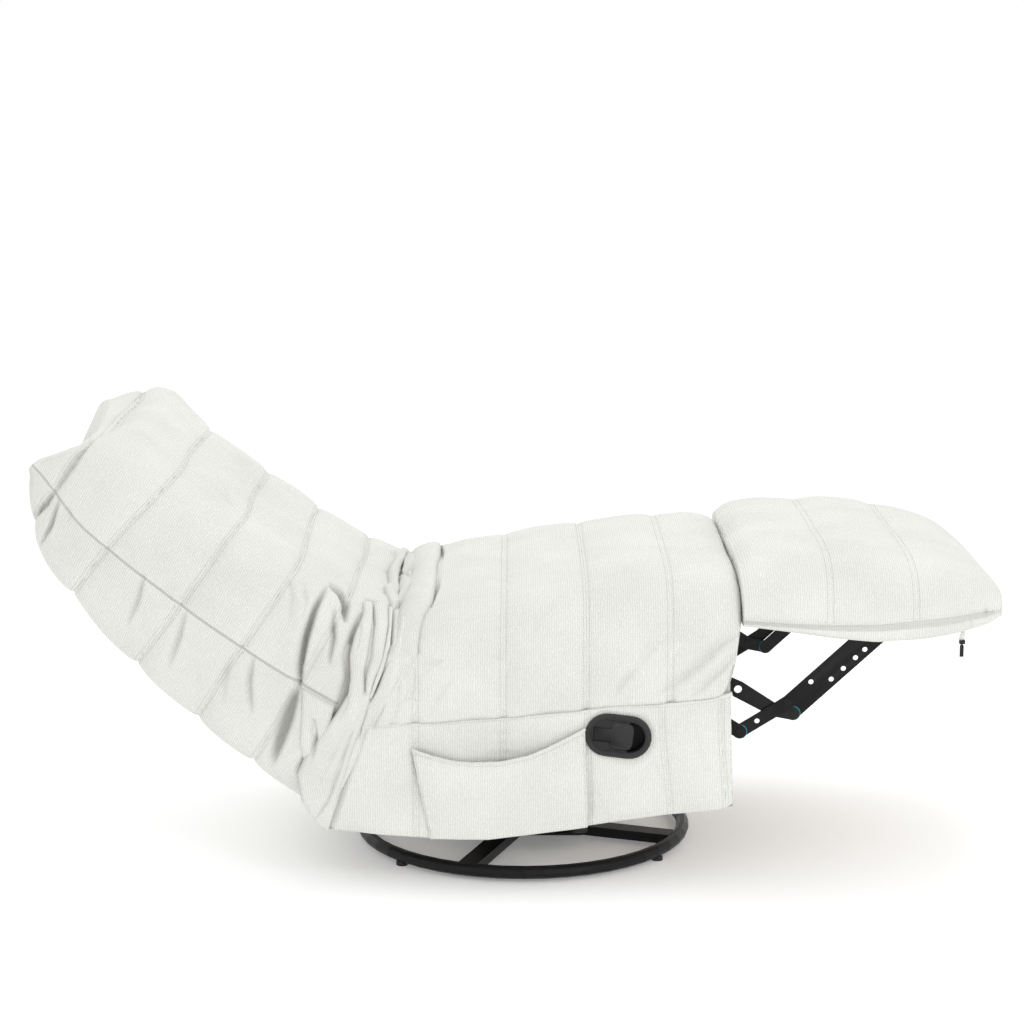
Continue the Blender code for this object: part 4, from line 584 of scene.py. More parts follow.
def on_side(points, y):
    """(x, z) on the plane at this y of places in the picture."""
    places = []
    for right, ahead, up in (sight(u, v) for u, v in points):
        reach = (y - CAMERA_PLACE[1]) / ahead
        places.append((CAMERA_PLACE[0] + reach * right, CAMERA_PLACE[2] + reach * up))
    return places


def line_of_sight(u, v):
    """The nearest plain cover met through a pixel, or through the closest one in its column."""
    for step in range(SIGHT_STEPS):
        lower = step if step % 2 else -step
        ray = Vector(sight(u, v + lower)).normalized()
        hits = [tree.ray_cast(Vector(CAMERA_PLACE), ray) for tree in PLAIN_COVERS]
        hits = [hit for hit in hits if hit[0] is not None]
        if hits:
            place, normal, _, _ = min(hits, key=lambda hit: hit[3])
            return place, normal if normal.dot(ray) < 0 else -normal
    raise ValueError("no cover under this pixel")


def laid_on(u, v):
    """Where lines of sight through these pixels meet the plain covers, and the surface's normals there."""
    places, normals = np.zeros(u.shape + (3,)), np.zeros(u.shape + (3,))
    for index in np.ndindex(u.shape):
        places[index], normals[index] = line_of_sight(u[index], v[index])
    return places, normals


def folds_on(grid, strokes):
    """Height left on both sides by folds drawn in the picture."""
    u, v = in_picture(grid)
    return stroke_field(u, v, strokes) * side_mask(grid, *FOLDS_FROM_MIDDLE)


def fold_shade(folds):
    """How deep in a fold each point lies, from 0 to 1: the share of painted shade that darkens the cloth
    there.
    """
    return np.clip(-folds / FOLD_SHADE, 0, 1) ** FOLD_SHADE_POWER


def stroke_field(u, v, strokes):
    """Height left by folds drawn as lines. Each is (points, half width, height)."""
    total = np.zeros(u.shape)
    for points, width, height in strokes:
        line = resample(points, STROKE_STEPS)
        low, high = line.min(0) - STROKE_REACH * width, line.max(0) + STROKE_REACH * width
        close = (u > low[0]) & (u < high[0]) & (v > low[1]) & (v < high[1])
        total[close] += height * stroke_share(u[close], v[close], line, width)
    return total


def stroke_share(u, v, line, width):
    """1 on the line, falling to 0 towards its ends, steeply on its right and gently on its left."""
    best = np.full(u.shape, np.inf)
    place, lean = np.zeros(u.shape), np.zeros(u.shape)
    for i, (start, end) in enumerate(zip(line[:-1], line[1:])):
        step = end - start
        share = ((u - start[0]) * step[0] + (v - start[1]) * step[1]) / (step @ step)
        share = np.clip(share, 0, 1)
        distance = np.hypot(u - start[0] - share * step[0], v - start[1] - share * step[1])
        closer = distance < best
        best = np.where(closer, distance, best)
        side = step[0] * (v - start[1]) - step[1] * (u - start[0])
        lean = np.where(closer, side / np.hypot(*step) / width, lean)
        place = np.where(closer, (i + share) / (len(line) - 1), place)
    taper = np.sqrt(np.clip(np.sin(np.pi * np.clip(place, 0, 1)), 0, 1))
    slope = STEEP_SIDE + (GENTLE_SIDE - STEEP_SIDE) * smooth(-SIDE_TURN, SIDE_TURN, lean)
    reach = width * (STROKE_END + (1 - STROKE_END) * taper) * slope
    return taper * np.exp(-(best / reach) ** 2)


def numbered(grid):
    return np.arange(grid.shape[0] * grid.shape[1]).reshape(grid.shape[:2])


def strips(index):
    """Four-sided faces between neighbouring closed loops of numbered points."""
    after = np.roll(index, -1, 1)
    return np.stack([index[:-1], after[:-1], after[1:], index[1:]], -1).reshape(-1, 4).tolist()


def surface_tree(grid):
    """A coarse copy of a cover's plain shape, which the small folds are laid on."""
    coarse = grid[::COARSE, ::COARSE]
    return BVHTree.FromPolygons(coarse.reshape(-1, 3).tolist(), strips(numbered(coarse)))


def linked(name, data):
    item = bpy.data.objects.new(name, data)
    bpy.context.scene.collection.objects.link(item)
    return item


def solid(name, grid, faces, material, fields=None):
    """A closed piece from its points and faces, smooth where it has fields for the fabric's shader."""
    mesh = bpy.data.meshes.new(name)
    mesh.from_pydata(grid.reshape(-1, 3).tolist(), [], faces)
    mesh.validate()
    for key, values in (fields or {}).items():
        kind, word = ("FLOAT_VECTOR", "vector") if values.ndim == 3 else ("FLOAT", "value")
        attribute = mesh.attributes.new(key, kind, "POINT")
        attribute.data.foreach_set(word, values.astype(np.float32).ravel())
    work = bmesh.new()
    work.from_mesh(mesh)
    bmesh.ops.recalc_face_normals(work, faces=work.faces)
    work.to_mesh(mesh)
    work.free()
    if fields:
        mesh.shade_smooth()
    mesh.materials.append(material)
    item = linked(name, mesh)
    return item


def loft(name, grid, fields, material):
    """A closed fabric piece from loops of points, capped across its first and last loops."""
    index = numbered(grid)
    faces = strips(index)
    columns = grid.shape[1]
    for row, order in ((0, -1), (len(grid) - 1, 1)):
        loop = index[row]
        for i in range(columns // 2):
            corners = (i, i + 1, (columns - i - 1) % columns, (columns - i) % columns)
            face = list(dict.fromkeys(int(loop[corner]) for corner in corners))
            if len(face) > 2:
                faces.append(face[::order])
    return solid(name, grid, faces, material, fields)


def ring(name, loops, material):
    """A closed ring of the given material, whose last loop joins its first."""
    index = numbered(loops)
    return solid(name, loops, strips(np.concatenate([index, index[:1]])), material)


def make_back_cover(material):
    """The whole back: a boxy pillow from the crease to the head, seamed round its edge and across."""
    share = np.linspace(0, 1, BACK_STEPS)
    s = BACK_END * (1 - (1 - share) ** BACK_SPACING)
    half = BACK_ROUND // 2
    loops = []
    for place in s:
        end = smooth(BACK_END - BACK_TIP, BACK_END, place)
        width = BACK_HALF_WIDTH - BACK_WAIST * np.sin(np.pi * np.clip(place / SPINE_LENGTH, 0, 1))
        upper = crown_line(width, along(BACK_CROWN, place), *eased(BACK_UPPER_POWERS, end), half + 1)
        lower = crown_line(width, along(BACK_REAR, place), *eased(BACK_LOWER_POWERS, end), half + 1)
        line = np.concatenate([upper, (lower * (1, -1))[::-1][1:-1]])
        out = np.abs(line[:, 0]) / BACK_HALF_WIDTH
        line[:, 1] += BACK_EAR_LIFT * end * out ** BACK_EAR_LIFT_POWER
        draw = BACK_EAR * end * (1 - out ** BACK_EAR_POWER)
        loops.append(back_place(place - draw, line[:, 0], line[:, 1]))
    grid = np.array(loops)
    PLAIN_COVERS.append(surface_tree(grid))
    run, length = girth(grid), girth(grid.swapaxes(0, 1)).T
    stations = np.broadcast_to(s[:, None], run.shape)
    is_upper = np.arange(grid.shape[1])[None] <= half
    to_near = np.minimum(run, run[:, -1:] - run)
    to_side = np.minimum(to_near, np.abs(run - run[:, half:half + 1]))
    seams = Seams(run.shape)
    seams.add(to_side, stations, depth=BACK_EDGE_DEPTH, stitched=False)
    rise = np.where(is_upper, np.clip(to_side / BACK_SEAM_LEAN_REACH, 0, 1), 0)
    for place, lean in BACK_SEAMS:
        wander = BACK_SEAM_WANDER * ripple(grid, BACK_WANDER_LENGTH, int(place * 1000)) + lean * rise
        seams.add(stations - place - wander, run, lap=BACK_LAP)
    for place in BACK_LONG_SEAMS:
        off = np.where(is_upper, 0, FAR_OFF)
        seams.add(np.abs(grid[..., 1] - place) + off, length, depth=BACK_LONG_DEPTH, rows=False)
    ease, reach = BACK_HEAD_EASE
    relief = seams.relief("back") * smooth(0.0, reach, BACK_END - stations + ease) + wrinkles("back", grid)
    folds = folds_on(grid, BACK_FOLDS + CREASE_FOLDS)
    folds *= np.where(is_upper, 1, side_mask(grid, *BACK_REAR_FOLDS))
    grid = grid + outward(grid) * (relief + folds)[..., None]
    # The fold field paints shade into the cloth's colour in the deep folds.
    item = loft("back_cover", grid, seams.fields(length, run, fold=fold_shade(folds)), material)
    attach(item, "back")
    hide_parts("back_cushion", "back_rear_pad")


def bunches(grid, turn, run):
    """Bunched folds that run down the sides and over the top, between the seat and the back."""
    inside = smooth(*BUNCH_START, turn) * (1 - smooth(*BUNCH_END, turn))
    wander = sum(size * np.sin(run * pace + start) for size, pace, start in BUNCH_WANDER)
    ridge = np.abs(np.sin(np.pi * ((turn * BUNCH_COUNT + wander) % 1.0))) ** BUNCH_POWER - BUNCH_MEAN
    fine = np.abs(np.sin(np.pi * (turn * FINE_COUNT + FINE_WANDER * wander))) ** FINE_POWER - FINE_MEAN
    height = BUNCH_HEIGHT + BUNCH_SWELL * np.sin(run * SWELL_PACE + SWELL_TURN * turn)
    sides = 1 - BUNCH_SIDE_LOSS * side_mask(grid, *BUNCH_SIDES)
    return inside * (height * ridge + FINE_HEIGHT * fine) * sides


def seat_floor(x):
    """Height of the seat frame's upper side, which slopes a little."""
    height, slope, middle = SEAT_FLOOR
    return height + slope * (x - middle)


def make_seat_cover(material):
    """The seat's cover, from its front edge back over the bunched crease to the back's lower end."""
    front = np.linspace(0, CREASE_START, SEAT_FRONT_STEPS, endpoint=False)
    stations = np.concatenate([front, np.linspace(CREASE_START, 1.0, CREASE_STEPS)])
    lows, tops = trace(SEAT_LOW, stations), trace(SEAT_TOP, stations)
    loops = []
    for place, low, top in zip(stations, lows, tops):
        height = np.linalg.norm(top - low)
        rear = smooth(*REAR_SPAN, place)
        width = SEAT_HALF_WIDTH - SEAT_TAPER * rear
        outer = crown_line(width, height, *eased(SEAT_POWERS, rear), SEAT_ROUND)
        floor = seat_floor(low[0]) - low[1]
        hollow = (1 - rear) * min(floor, height - SEAT_WADDING) + rear * (height - CREASE_WADDING)
        hollow = max(hollow, LEAST_HOLLOW)
        inner = crown_line(width - SEAT_SKIRT, hollow, *SEAT_INSIDE_POWERS, SEAT_INSIDE)
        loops.append(plane_section(low, top, np.concatenate([outer, inner[::-1]])))
    grid = np.array(loops)
    PLAIN_COVERS.append(surface_tree(grid))
    run = girth(grid)
    is_outer = np.arange(grid.shape[1])[None] < SEAT_ROUND
    place = np.broadcast_to(stations[:, None], run.shape)
    turn = np.clip((place - CREASE_START) / (1 - CREASE_START), 0, 1)
    seams = Seams(run.shape)
    for x in SEAT_CROSS_SEAMS:
        off = np.where(turn > CROSS_SEAM_TURN, FAR_OFF, 0)
        seams.add(np.abs(grid[..., 0] - x) + off, run, depth=SEAT_CROSS_DEPTH)
    below_top = np.abs(grid[..., 2] - tops[:, None, 1]) > SEAT_TOP_BAND
    for y in SEAT_LONG_SEAMS:
        off = np.where((turn > LONG_SEAM_TURN) | below_top, FAR_OFF, 0)
        seams.add(np.abs(grid[..., 1] - y) + off, place, depth=SEAT_LONG_DEPTH, rows=False)
    skirt = np.minimum(run, run[:, SEAT_ROUND - 1:SEAT_ROUND] - run)
    skirt = np.where(is_outer, skirt, FAR_OFF) + np.where(turn > SKIRT_TURN, FAR_OFF, 0)
    seams.add(skirt, grid[..., 0], depth=SEAT_SKIRT_DEPTH, stitched=False)
    relief = seams.relief("seat") * (1 - smooth(*PUFF_ENDS, turn)) + wrinkles("seat", grid)
    relief += bunches(grid, turn, run)
    folds = folds_on(grid, BACK_FOLDS + SEAT_FOLDS + CREASE_FOLDS)
    grid = grid + outward(grid) * np.where(is_outer, relief + folds, 0)[..., None]
    # The fold field paints shade into the cloth's colour in the deep folds.
    item = loft("seat_cover", grid, seams.fields(grid[..., 0], run, fold=fold_shade(folds)), material)
    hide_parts("seat_cushion", "crease_cover")
    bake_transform(item)


def on_handle(across, up):
    """(x, z) of a place along and across the handle."""
    cosine, sine = math.cos(HANDLE_TILT), math.sin(HANDLE_TILT)
    return HANDLE_PLACE[0] + across * cosine - up * sine, HANDLE_PLACE[1] + across * sine + up * cosine


def in_handle(x, z, grow=0.0):
    """Below zero inside the handle's rounded window, in metres."""
    cosine, sine = math.cos(HANDLE_TILT), math.sin(HANDLE_TILT)
    across = (x - HANDLE_PLACE[0]) * cosine + (z - HANDLE_PLACE[1]) * sine
    up = -(x - HANDLE_PLACE[0]) * sine + (z - HANDLE_PLACE[1]) * cosine
    return stadium(across, up, HANDLE_WINDOW[0] + 2 * grow, HANDLE_WINDOW[1] + 2 * grow)


def panel_section(low, seam):
    """One section of a side panel: world points, with each one's height as a share of the seam's."""
    height = np.linalg.norm(seam - low)
    floor = seat_floor(seam[0]) - PANEL_FLOOR_GAP
    tall = height + max(floor - seam[1], PANEL_LEAST_RISE)
    outline = [(PANEL_INSIDE, 0)] + [(PANEL_HALF_WIDTH + out, up) for out, up in PANEL_FOOT]
    outline.append((PANEL_HALF_WIDTH + PANEL_BULGE, height * 0.5))
    outline += [(PANEL_HALF_WIDTH + out, height + up) for out, up in PANEL_HEAD]
    outline += [(outline[-1][0], tall), (PANEL_INSIDE, tall)]
    outer = resample(outline, PANEL_ROUND)
    inner = resample([(PANEL_INSIDE, tall), (PANEL_INSIDE, 0)], PANEL_BACKING + 2)[1:-1]
    return np.concatenate([outer, inner]), height


def make_side_panel(side, material):
    """One side's panel: seamed, a little puffed, rolled under at its lower edge, with its face dropped a
    little at both ends.
    """
    share = np.linspace(0, 1, PANEL_STEPS)
    loops, rises = [], []
    for low, seam in zip(trace(PANEL_LOW, share), trace(PANEL_SEAM, share)):
        line, height = panel_section(low, seam)
        loops.append(plane_section(low, seam, line * (side, 1)))
        rises.append(line[:, 1] / height)
    grid, rise = np.array(loops), np.array(rises)
    x, z = grid[..., 0], grid[..., 2]
    seams = Seams(x.shape)
    for place, lean in PANEL_CROSS_SEAMS:
        seams.add(x - place - lean * smooth(*PANEL_LEAN_SPAN, z), z, depth=PANEL_CROSS_DEPTH)
    to_seam = np.abs(1 - rise) * PANEL_EDGE_SCALE
    seams.add(to_seam + PANEL_EDGE_OFFSET, x, depth=PANEL_EDGE_DEPTH, rows=False)
    edge = np.clip(np.minimum(rise * PANEL_EDGE_SCALE, to_seam), 0, 1)
    relief = seams.relief("panel") * smooth(0.0, PANEL_EDGE_REACH, edge)
    relief += wrinkles("panel", grid) + folds_on(grid, PANEL_FOLDS)
    if side == NEAR:
        sunk = 1 - smooth(*HANDLE_BED_REACH, in_handle(x, z, HANDLE_MARGIN))
        relief = relief * (1 - sunk) - (PANEL_HALF_WIDTH - HANDLE_BED) * sunk
        relief -= HANDLE_DEPTH * (1 - smooth(-HANDLE_WALL, 0.0, in_handle(x, z)))
    faces_out = np.abs(grid[..., 1]) > PANEL_HALF_WIDTH - PANEL_FACE
    rim = smooth(0.0, PANEL_RIM, x - x[:1]) * smooth(0.0, PANEL_RIM, x[-1:] - x)
    swell = np.where(faces_out, relief, 0) - PANEL_RIM_DROP * (1 - rim) * faces_out
    grid[..., 1] += side * swell
    item = loft(f"side_panel_{WORD[side]}", grid, seams.fields(x, z + WEAVE_START["panel"]), material)
    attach(item, "seat")
    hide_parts(f"side_pad_{WORD[side]}")


def footrest_section(x):
    """One section of the footrest's cover: the crowned top, then the boxing and the underside."""
    seam, crown, floor = (along(table, x) for table in (FOOT_SEAM, FOOT_CROWN, FOOT_FLOOR))
    tip = smooth(FOOT_TAPER_START, FOOT_TIP, x)
    waist = FOOT_WAIST * math.sin(math.pi * (x - FOOT_WAIST_START) / FOOT_WAIST_LENGTH)
    width = FOOT_HALF_WIDTH - waist - FOOT_TAPER * tip
    upper = crown_line(width, crown - seam, *eased(FOOT_POWERS, tip), FOOT_ROUND)
    across = width * np.cos(np.linspace(0, np.pi, FOOT_UNDER + 2)[1:-1])
    belly = (floor - seam) * (1 - (np.abs(across) / width) ** FOOT_BOXING_POWER) ** (1 / 3)
    rear, front, half_width, height = FOOT_RECESS
    lower = np.where((rear < x < front) & (np.abs(across) < half_width), height - seam, belly)
    line = np.concatenate([upper, np.stack([across, lower], 1)])
    corner = smooth(FOOT_CORNER_START, FOOT_TIP, x) * (np.abs(line[:, 0]) / width) ** FOOT_CORNER_POWER
    return np.stack([x - FOOT_CORNER * corner, line[:, 0], seam + line[:, 1]], -1)


def make_footrest_cover(material):
    """The footrest's cover: a crowned top, a narrow boxing under its seam, and the board's recess below."""
    share = np.linspace(0, 1, FOOT_STEPS)
    ease = 0.5 - 0.5 * np.cos(np.pi * share)
    xs = FOOT_REAR + (FOOT_TIP - FOOT_REAR) * (FOOT_EVEN * share + (1 - FOOT_EVEN) * ease)
    grid = np.array([footrest_section(x) for x in xs])
    run = girth(grid)
    is_upper = np.arange(grid.shape[1])[None] < FOOT_ROUND
    off = np.where(is_upper, 0, FAR_OFF)
    stations = np.broadcast_to(xs[:, None], run.shape)
    seams = Seams(run.shape)
    to_seam = np.minimum(run, np.abs(run - run[:, FOOT_ROUND - 1:FOOT_ROUND]))
    seams.add(to_seam, stations, depth=FOOT_EDGE_DEPTH, stitched=False)
    for place in FOOT_CROSS_SEAMS:
        seams.add(np.abs(stations - place) + off, run, depth=FOOT_CROSS_DEPTH)
    for place in FOOT_LONG_SEAMS:
        seams.add(np.abs(grid[..., 1] - place) + off, stations, depth=FOOT_LONG_DEPTH, rows=False)
    edge = smooth(0.0, FOOT_EDGE_REACH, FOOT_TIP - stations)
    relief = (seams.relief("footrest") + wrinkles("footrest", grid)) * edge + folds_on(grid, FOOT_FOLDS)
    grid = grid + outward(grid) * np.where(is_upper, relief, 0)[..., None]
    item = loft("footrest_cover", grid, seams.fields(stations, run + WEAVE_START["footrest"]), material)
    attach(item, "footrest")
    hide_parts("footrest_cushion")


def tube(name, path, radius, material):
    """A round cord along a path, with closed ends."""
    path = np.asarray(path, float)
    tangent = np.gradient(path, axis=0)
    tangent /= np.linalg.norm(tangent, axis=1, keepdims=True)
    runs_across = abs(tangent[:, 1]).mean() >= TUBE_ACROSS
    first = np.cross(tangent, (0.0, 0.0, 1.0) if runs_across else (0.0, 1.0, 0.0))
    first /= np.linalg.norm(first, axis=1, keepdims=True)
    second = np.cross(tangent, first)
    turn = np.linspace(0, 2 * np.pi, TUBE_SIDES, endpoint=False)[None, :, None]
    grid = path[:, None] + (first[:, None] * np.cos(turn) + second[:, None] * np.sin(turn)) * radius
    run = np.concatenate([[0], np.cumsum(np.linalg.norm(np.diff(path, axis=0), axis=1))])
    run = np.broadcast_to(run[:, None], grid.shape[:2])
    around = np.broadcast_to(turn[..., 0] * radius, grid.shape[:2])
    return loft(name, grid, no_seams(grid.shape[:2]).fields(run, around), material)


def both_faces(field):
    """A field for the outer face and, folded back, for the inner one."""
    return np.concatenate([field, field[:, ::-1]], 1)


def make_pocket(material):
    """The pocket's patch, standing off the panel at its hem, and the piping along the hem."""
    hem, foot = resample(POCKET_HEM, POCKET_COLUMNS), resample(POCKET_FOOT, POCKET_COLUMNS)
    u = np.linspace(0, 1, POCKET_COLUMNS)[:, None]
    v = np.linspace(0, 1, POCKET_ROWS)[None]
    x, z = (foot[:, i:i + 1] + (hem[:, i:i + 1] - foot[:, i:i + 1]) * v for i in (0, 1))
    middle = np.sin(np.pi * u)
    opening = middle ** POCKET_OPENING[0] * v ** POCKET_OPENING[1]
    stand = POCKET_SEWN + POCKET_STAND * opening + POCKET_BULGE * middle * np.sin(np.pi * v)
    outer = np.stack([x, -(PANEL_HALF_WIDTH + POCKET_GAP + stand), z], -1)
    seams = Seams(x.shape)
    sides, hem_edge = np.minimum(u, 1 - u), 1 - v
    for share, (scale, offset), run, depth in ((sides, POCKET_SIDE_SEAM, z, POCKET_SIDE_DEPTH),
                                               (hem_edge, POCKET_HEM_SEAM, x, 0.0)):
        seams.add(np.broadcast_to(share * scale + offset, x.shape), run, depth=depth)
    outer[..., 1] -= seams.relief("pocket") + wrinkles("pocket", outer)
    grid = np.concatenate([outer, (outer + (0, POCKET_THICK, 0))[:, ::-1]], 1)
    fields = {key: both_faces(field) for key, field in seams.fields(x, z + WEAVE_START["pocket"]).items()}
    patch = loft("side_pocket_patch", grid, fields, material)
    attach(patch, "seat")
    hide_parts("side_pocket")
    rim = outer[:, -1] + (0, POCKET_THICK / 2, PIPING_RISE)
    piping = tube("side_pocket_piping", resample(rim, PIPING_STEPS), PIPING, material)
    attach(piping, "seat")


def soften(field, times):
    """The field averaged with its neighbours, a few times over."""
    for _ in range(times):
        for axis in (0, 1):
            last = field.shape[axis] - 1
            ahead = np.concatenate([field.take(range(1, last + 1), axis), field.take([-1], axis)], axis)
            behind = np.concatenate([field.take([0], axis), field.take(range(last), axis)], axis)
            field = (ahead + 2 * field + behind) / 4
    return field


def pleat_profile(u, v, flatness, tail):
    """A fold's height over its face, blunt above and faded at its tail, and how much painted shade darkens
    its long edges.
    """
    ends = np.sqrt(np.clip(u / PLEAT_BLUNT, 0, 1)) * np.clip((1 - u) / tail, 0, 1) ** (0.5 + tail / 2)
    across = (1 - np.abs(2 * v - 1) ** flatness) ** 0.5
    return ends * across, ends * np.clip(1 - PLEAT_EDGE_SHADE_NARROWING * across, 0, 1)


def make_pleat(name, side, edges, stand, flatness, tail, material, flat_base=False):
    """A soft fold between two edges drawn in the picture, laid on the chair's side or on a side plane."""
    u = np.linspace(0, 1, PLEAT_ROWS)[:, None]
    v = np.linspace(0, 1, PLEAT_COLUMNS)[None]
    if flat_base:
        edges = [on_side(edge, -PANEL_HALF_WIDTH) for edge in edges]
    left, right = (resample(edge, PLEAT_ROWS) for edge in edges)
    first, second = (left[:, i:i + 1] * (1 - v) + right[:, i:i + 1] * v for i in (0, 1))
    if flat_base:
        base = np.stack([first, np.full(first.shape, -PLEAT_ROOT), second], -1)
        normal = np.broadcast_to((0.0, -1.0, 0.0), base.shape)
    else:
        base, normal = laid_on(first, second)
        base, normal = soften(base, BASE_SOFTENED), soften(normal, NORMAL_SOFTENED)
    share, rim = pleat_profile(u, v, flatness, tail)
    rough = CREASE_SHARE * folds_on(base, PLEAT_CREASES) + wrinkles("fold", base)
    outer = base + normal * ((stand + rough) * share - PLEAT_SINK)[..., None]
    inner = base - normal * (PLEAT_SINK + PLEAT_THICK)
    grid = np.concatenate([outer, inner[:, ::-1]], 1) * (1, -side, 1)
    around, length = girth(outer), girth(outer.swapaxes(0, 1)).T + WEAVE_START["fold"]
    # The fold field paints shade into the cloth's colour along the fold's long edges and in its creases.
    fields = no_seams(around.shape).fields(around, length, fold=rim + fold_shade(rough))
    return loft(name, grid, {key: both_faces(field) for key, field in fields.items()}, material)


def make_pleats(side, material):
    """The bunched folds on one side of the crease, and the flap over the panel's rear edge."""
    for label, left, right, *form in PLEATS:
        if side == FAR and label in NEAR_PLEATS:
            continue
        pleat = make_pleat(f"fold_{label}_{WORD[side]}", side, (left, right), *form, material)
        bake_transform(pleat)
    flap = make_pleat(f"rear_flap_{WORD[side]}", side, FLAP, *FLAP_FORM, material, flat_base=True)
    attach(flap, "seat")


def make_welt(side, material):
    """The sewn edge between the seat's side and the panel."""
    path = resample([(x, z) for _, x, z in PANEL_SEAM], WELT_STEPS)
    y = np.full(WELT_STEPS, side * (PANEL_HALF_WIDTH - WELT - WELT_SUNK))
    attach(tube(f"welt_{WORD[side]}", np.stack([path[:, 0], y, path[:, 1]], 1), WELT, material), "seat")


def make_zipper_tape(material):
    """The tail of the zipper's tape, from the boxing down to the slider."""
    low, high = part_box("zipper_slider")
    middle = [(a + b) / 2 for a, b in zip(low, high)]
    top = along(FOOT_FLOOR, middle[0]) + TAPE["rise"]
    share = np.linspace(0, 1, TAPE_STEPS)
    x = middle[0] + TAPE["sway"] * np.sin(share * TAPE["turns"])
    z = top + (high[2] - TAPE["gap"] - top) * share
    path = np.stack([x, np.full(TAPE_STEPS, middle[1]), z], 1)
    tape = tube("zipper_tape", path, TAPE["half_width"], material)
    for vertex in tape.data.vertices:
        vertex.co.y = middle[1] + (vertex.co.y - middle[1]) * TAPE["flatness"]
    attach(tape, "footrest")


def stadium(across, up, length, height):
    """Below zero inside a long hole with round ends."""
    return np.hypot(np.maximum(np.abs(across) - (length - height) / 2, 0), up) - height / 2


def in_plate_hole(across, up):
    """True over the paddle and its gap, and over the finger hole beside its head."""
    start, end, height = PADDLE_NECK
    neck = (across > start - PLATE_GAP) & (across < end + PLATE_GAP) & (np.abs(up) < height / 2 + PLATE_GAP)
    start, end, height, corner = PADDLE_HEAD
    middle, half = (start + end) / 2, (end - start) / 2
    out = np.hypot(np.maximum(np.abs(across - middle) - half + corner, 0),
                   np.maximum(np.abs(up) - height / 2 + corner, 0))
    finger = (across > FINGER_EDGE) & (stadium(across, up, *CUP_OPENING) < -PLATE_GAP)
    return neck | (out < corner + PLATE_GAP) | finger


def make_handle_plate(material):
    """The flat plate in the handle's cup, cut out round the paddle and the finger hole."""
    turn = np.linspace(0, 2 * np.pi, PLATE_TURNS, endpoint=False)
    cosine, sine = np.cos(turn), np.sin(turn)
    reach = np.linspace(0, CUP_OPENING[0], PLATE_REACHES)[None]
    middle = PADDLE_HEAD[0]
    across, up = middle + reach * cosine[:, None], reach * sine[:, None]
    outer = np.where(stadium(across, up, *CUP_OPENING) < -PLATE_FIT, reach, 0).max(1)
    inner = np.minimum(np.where(in_plate_hole(across, up), reach, 0).max(1), outer - PLATE_FIT)
    back, soft_front, front = PLATE_FACES
    loops = []
    for radius, depth in ((outer, back), (outer, soft_front), (outer - PLATE_FIT / 2, front),
                          (inner + PLATE_FIT / 2, front), (inner, soft_front), (inner, back)):
        x, z = on_handle(middle + radius * cosine, radius * sine)
        loops.append(np.stack([x, np.full(x.shape, -depth), z], -1))
    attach(ring("handle_plate", np.array(loops), material), "seat")


def make_washers(side, material):
    """Nylon washers between one side's links, which show as a thin coloured rim."""
    turn = np.linspace(0, 2 * np.pi, WASHER_SIDES, endpoint=False)
    for label, body, (x, z), y in WASHERS:
        loops = [np.stack([x + radius * np.cos(turn), np.full(turn.shape, side * (y + out)),
                           z + radius * np.sin(turn)], -1) for radius, out in WASHER_OUTLINE]
        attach(ring(f"washer_{label}_{WORD[side]}", np.array(loops), material), body)


def shader_of(name):
    """A new material, its node tree and its shader."""
    material = bpy.data.materials.new(name)
    material.use_nodes = True
    return material, material.node_tree, material.node_tree.nodes["Principled BSDF"]


def set_inputs(node, **values):
    for key, value in values.items():
        node.inputs[key.replace("_", " ")].default_value = value


def add(tree, kind, **settings):
    """A new node with its properties and inputs set."""
    node = tree.nodes.new(kind)
    for key, value in settings.items():
        if hasattr(node, key):
            setattr(node, key, value)
        else:
            set_inputs(node, **{key: value})
    return node


def feed(tree, socket, value):
    """Links another node's output to a socket, or sets the socket to a plain value."""
    if isinstance(value, bpy.types.NodeSocket):
        tree.links.new(value, socket)
    else:
        socket.default_value = value


def reckon(tree, operation, *values, clamp=False):
    node = add(tree, "ShaderNodeMath", operation=operation, use_clamp=clamp)
    for socket, value in zip(node.inputs, values):
        feed(tree, socket, value)
    return node.outputs[0]


def mix_colour(tree, share, first, second):
    node = add(tree, "ShaderNodeMix", data_type="RGBA")
    for socket, value in zip((node.inputs[0], node.inputs[6], node.inputs[7]), (share, first, second)):
        feed(tree, socket, value)
    return node.outputs[2]


def add_bump(tree, shader, height, strength, distance):
    bump = add(tree, "ShaderNodeBump", Strength=strength, Distance=distance)
    feed(tree, bump.inputs["Height"], height)
    feed(tree, shader.inputs["Normal"], bump.outputs[0])


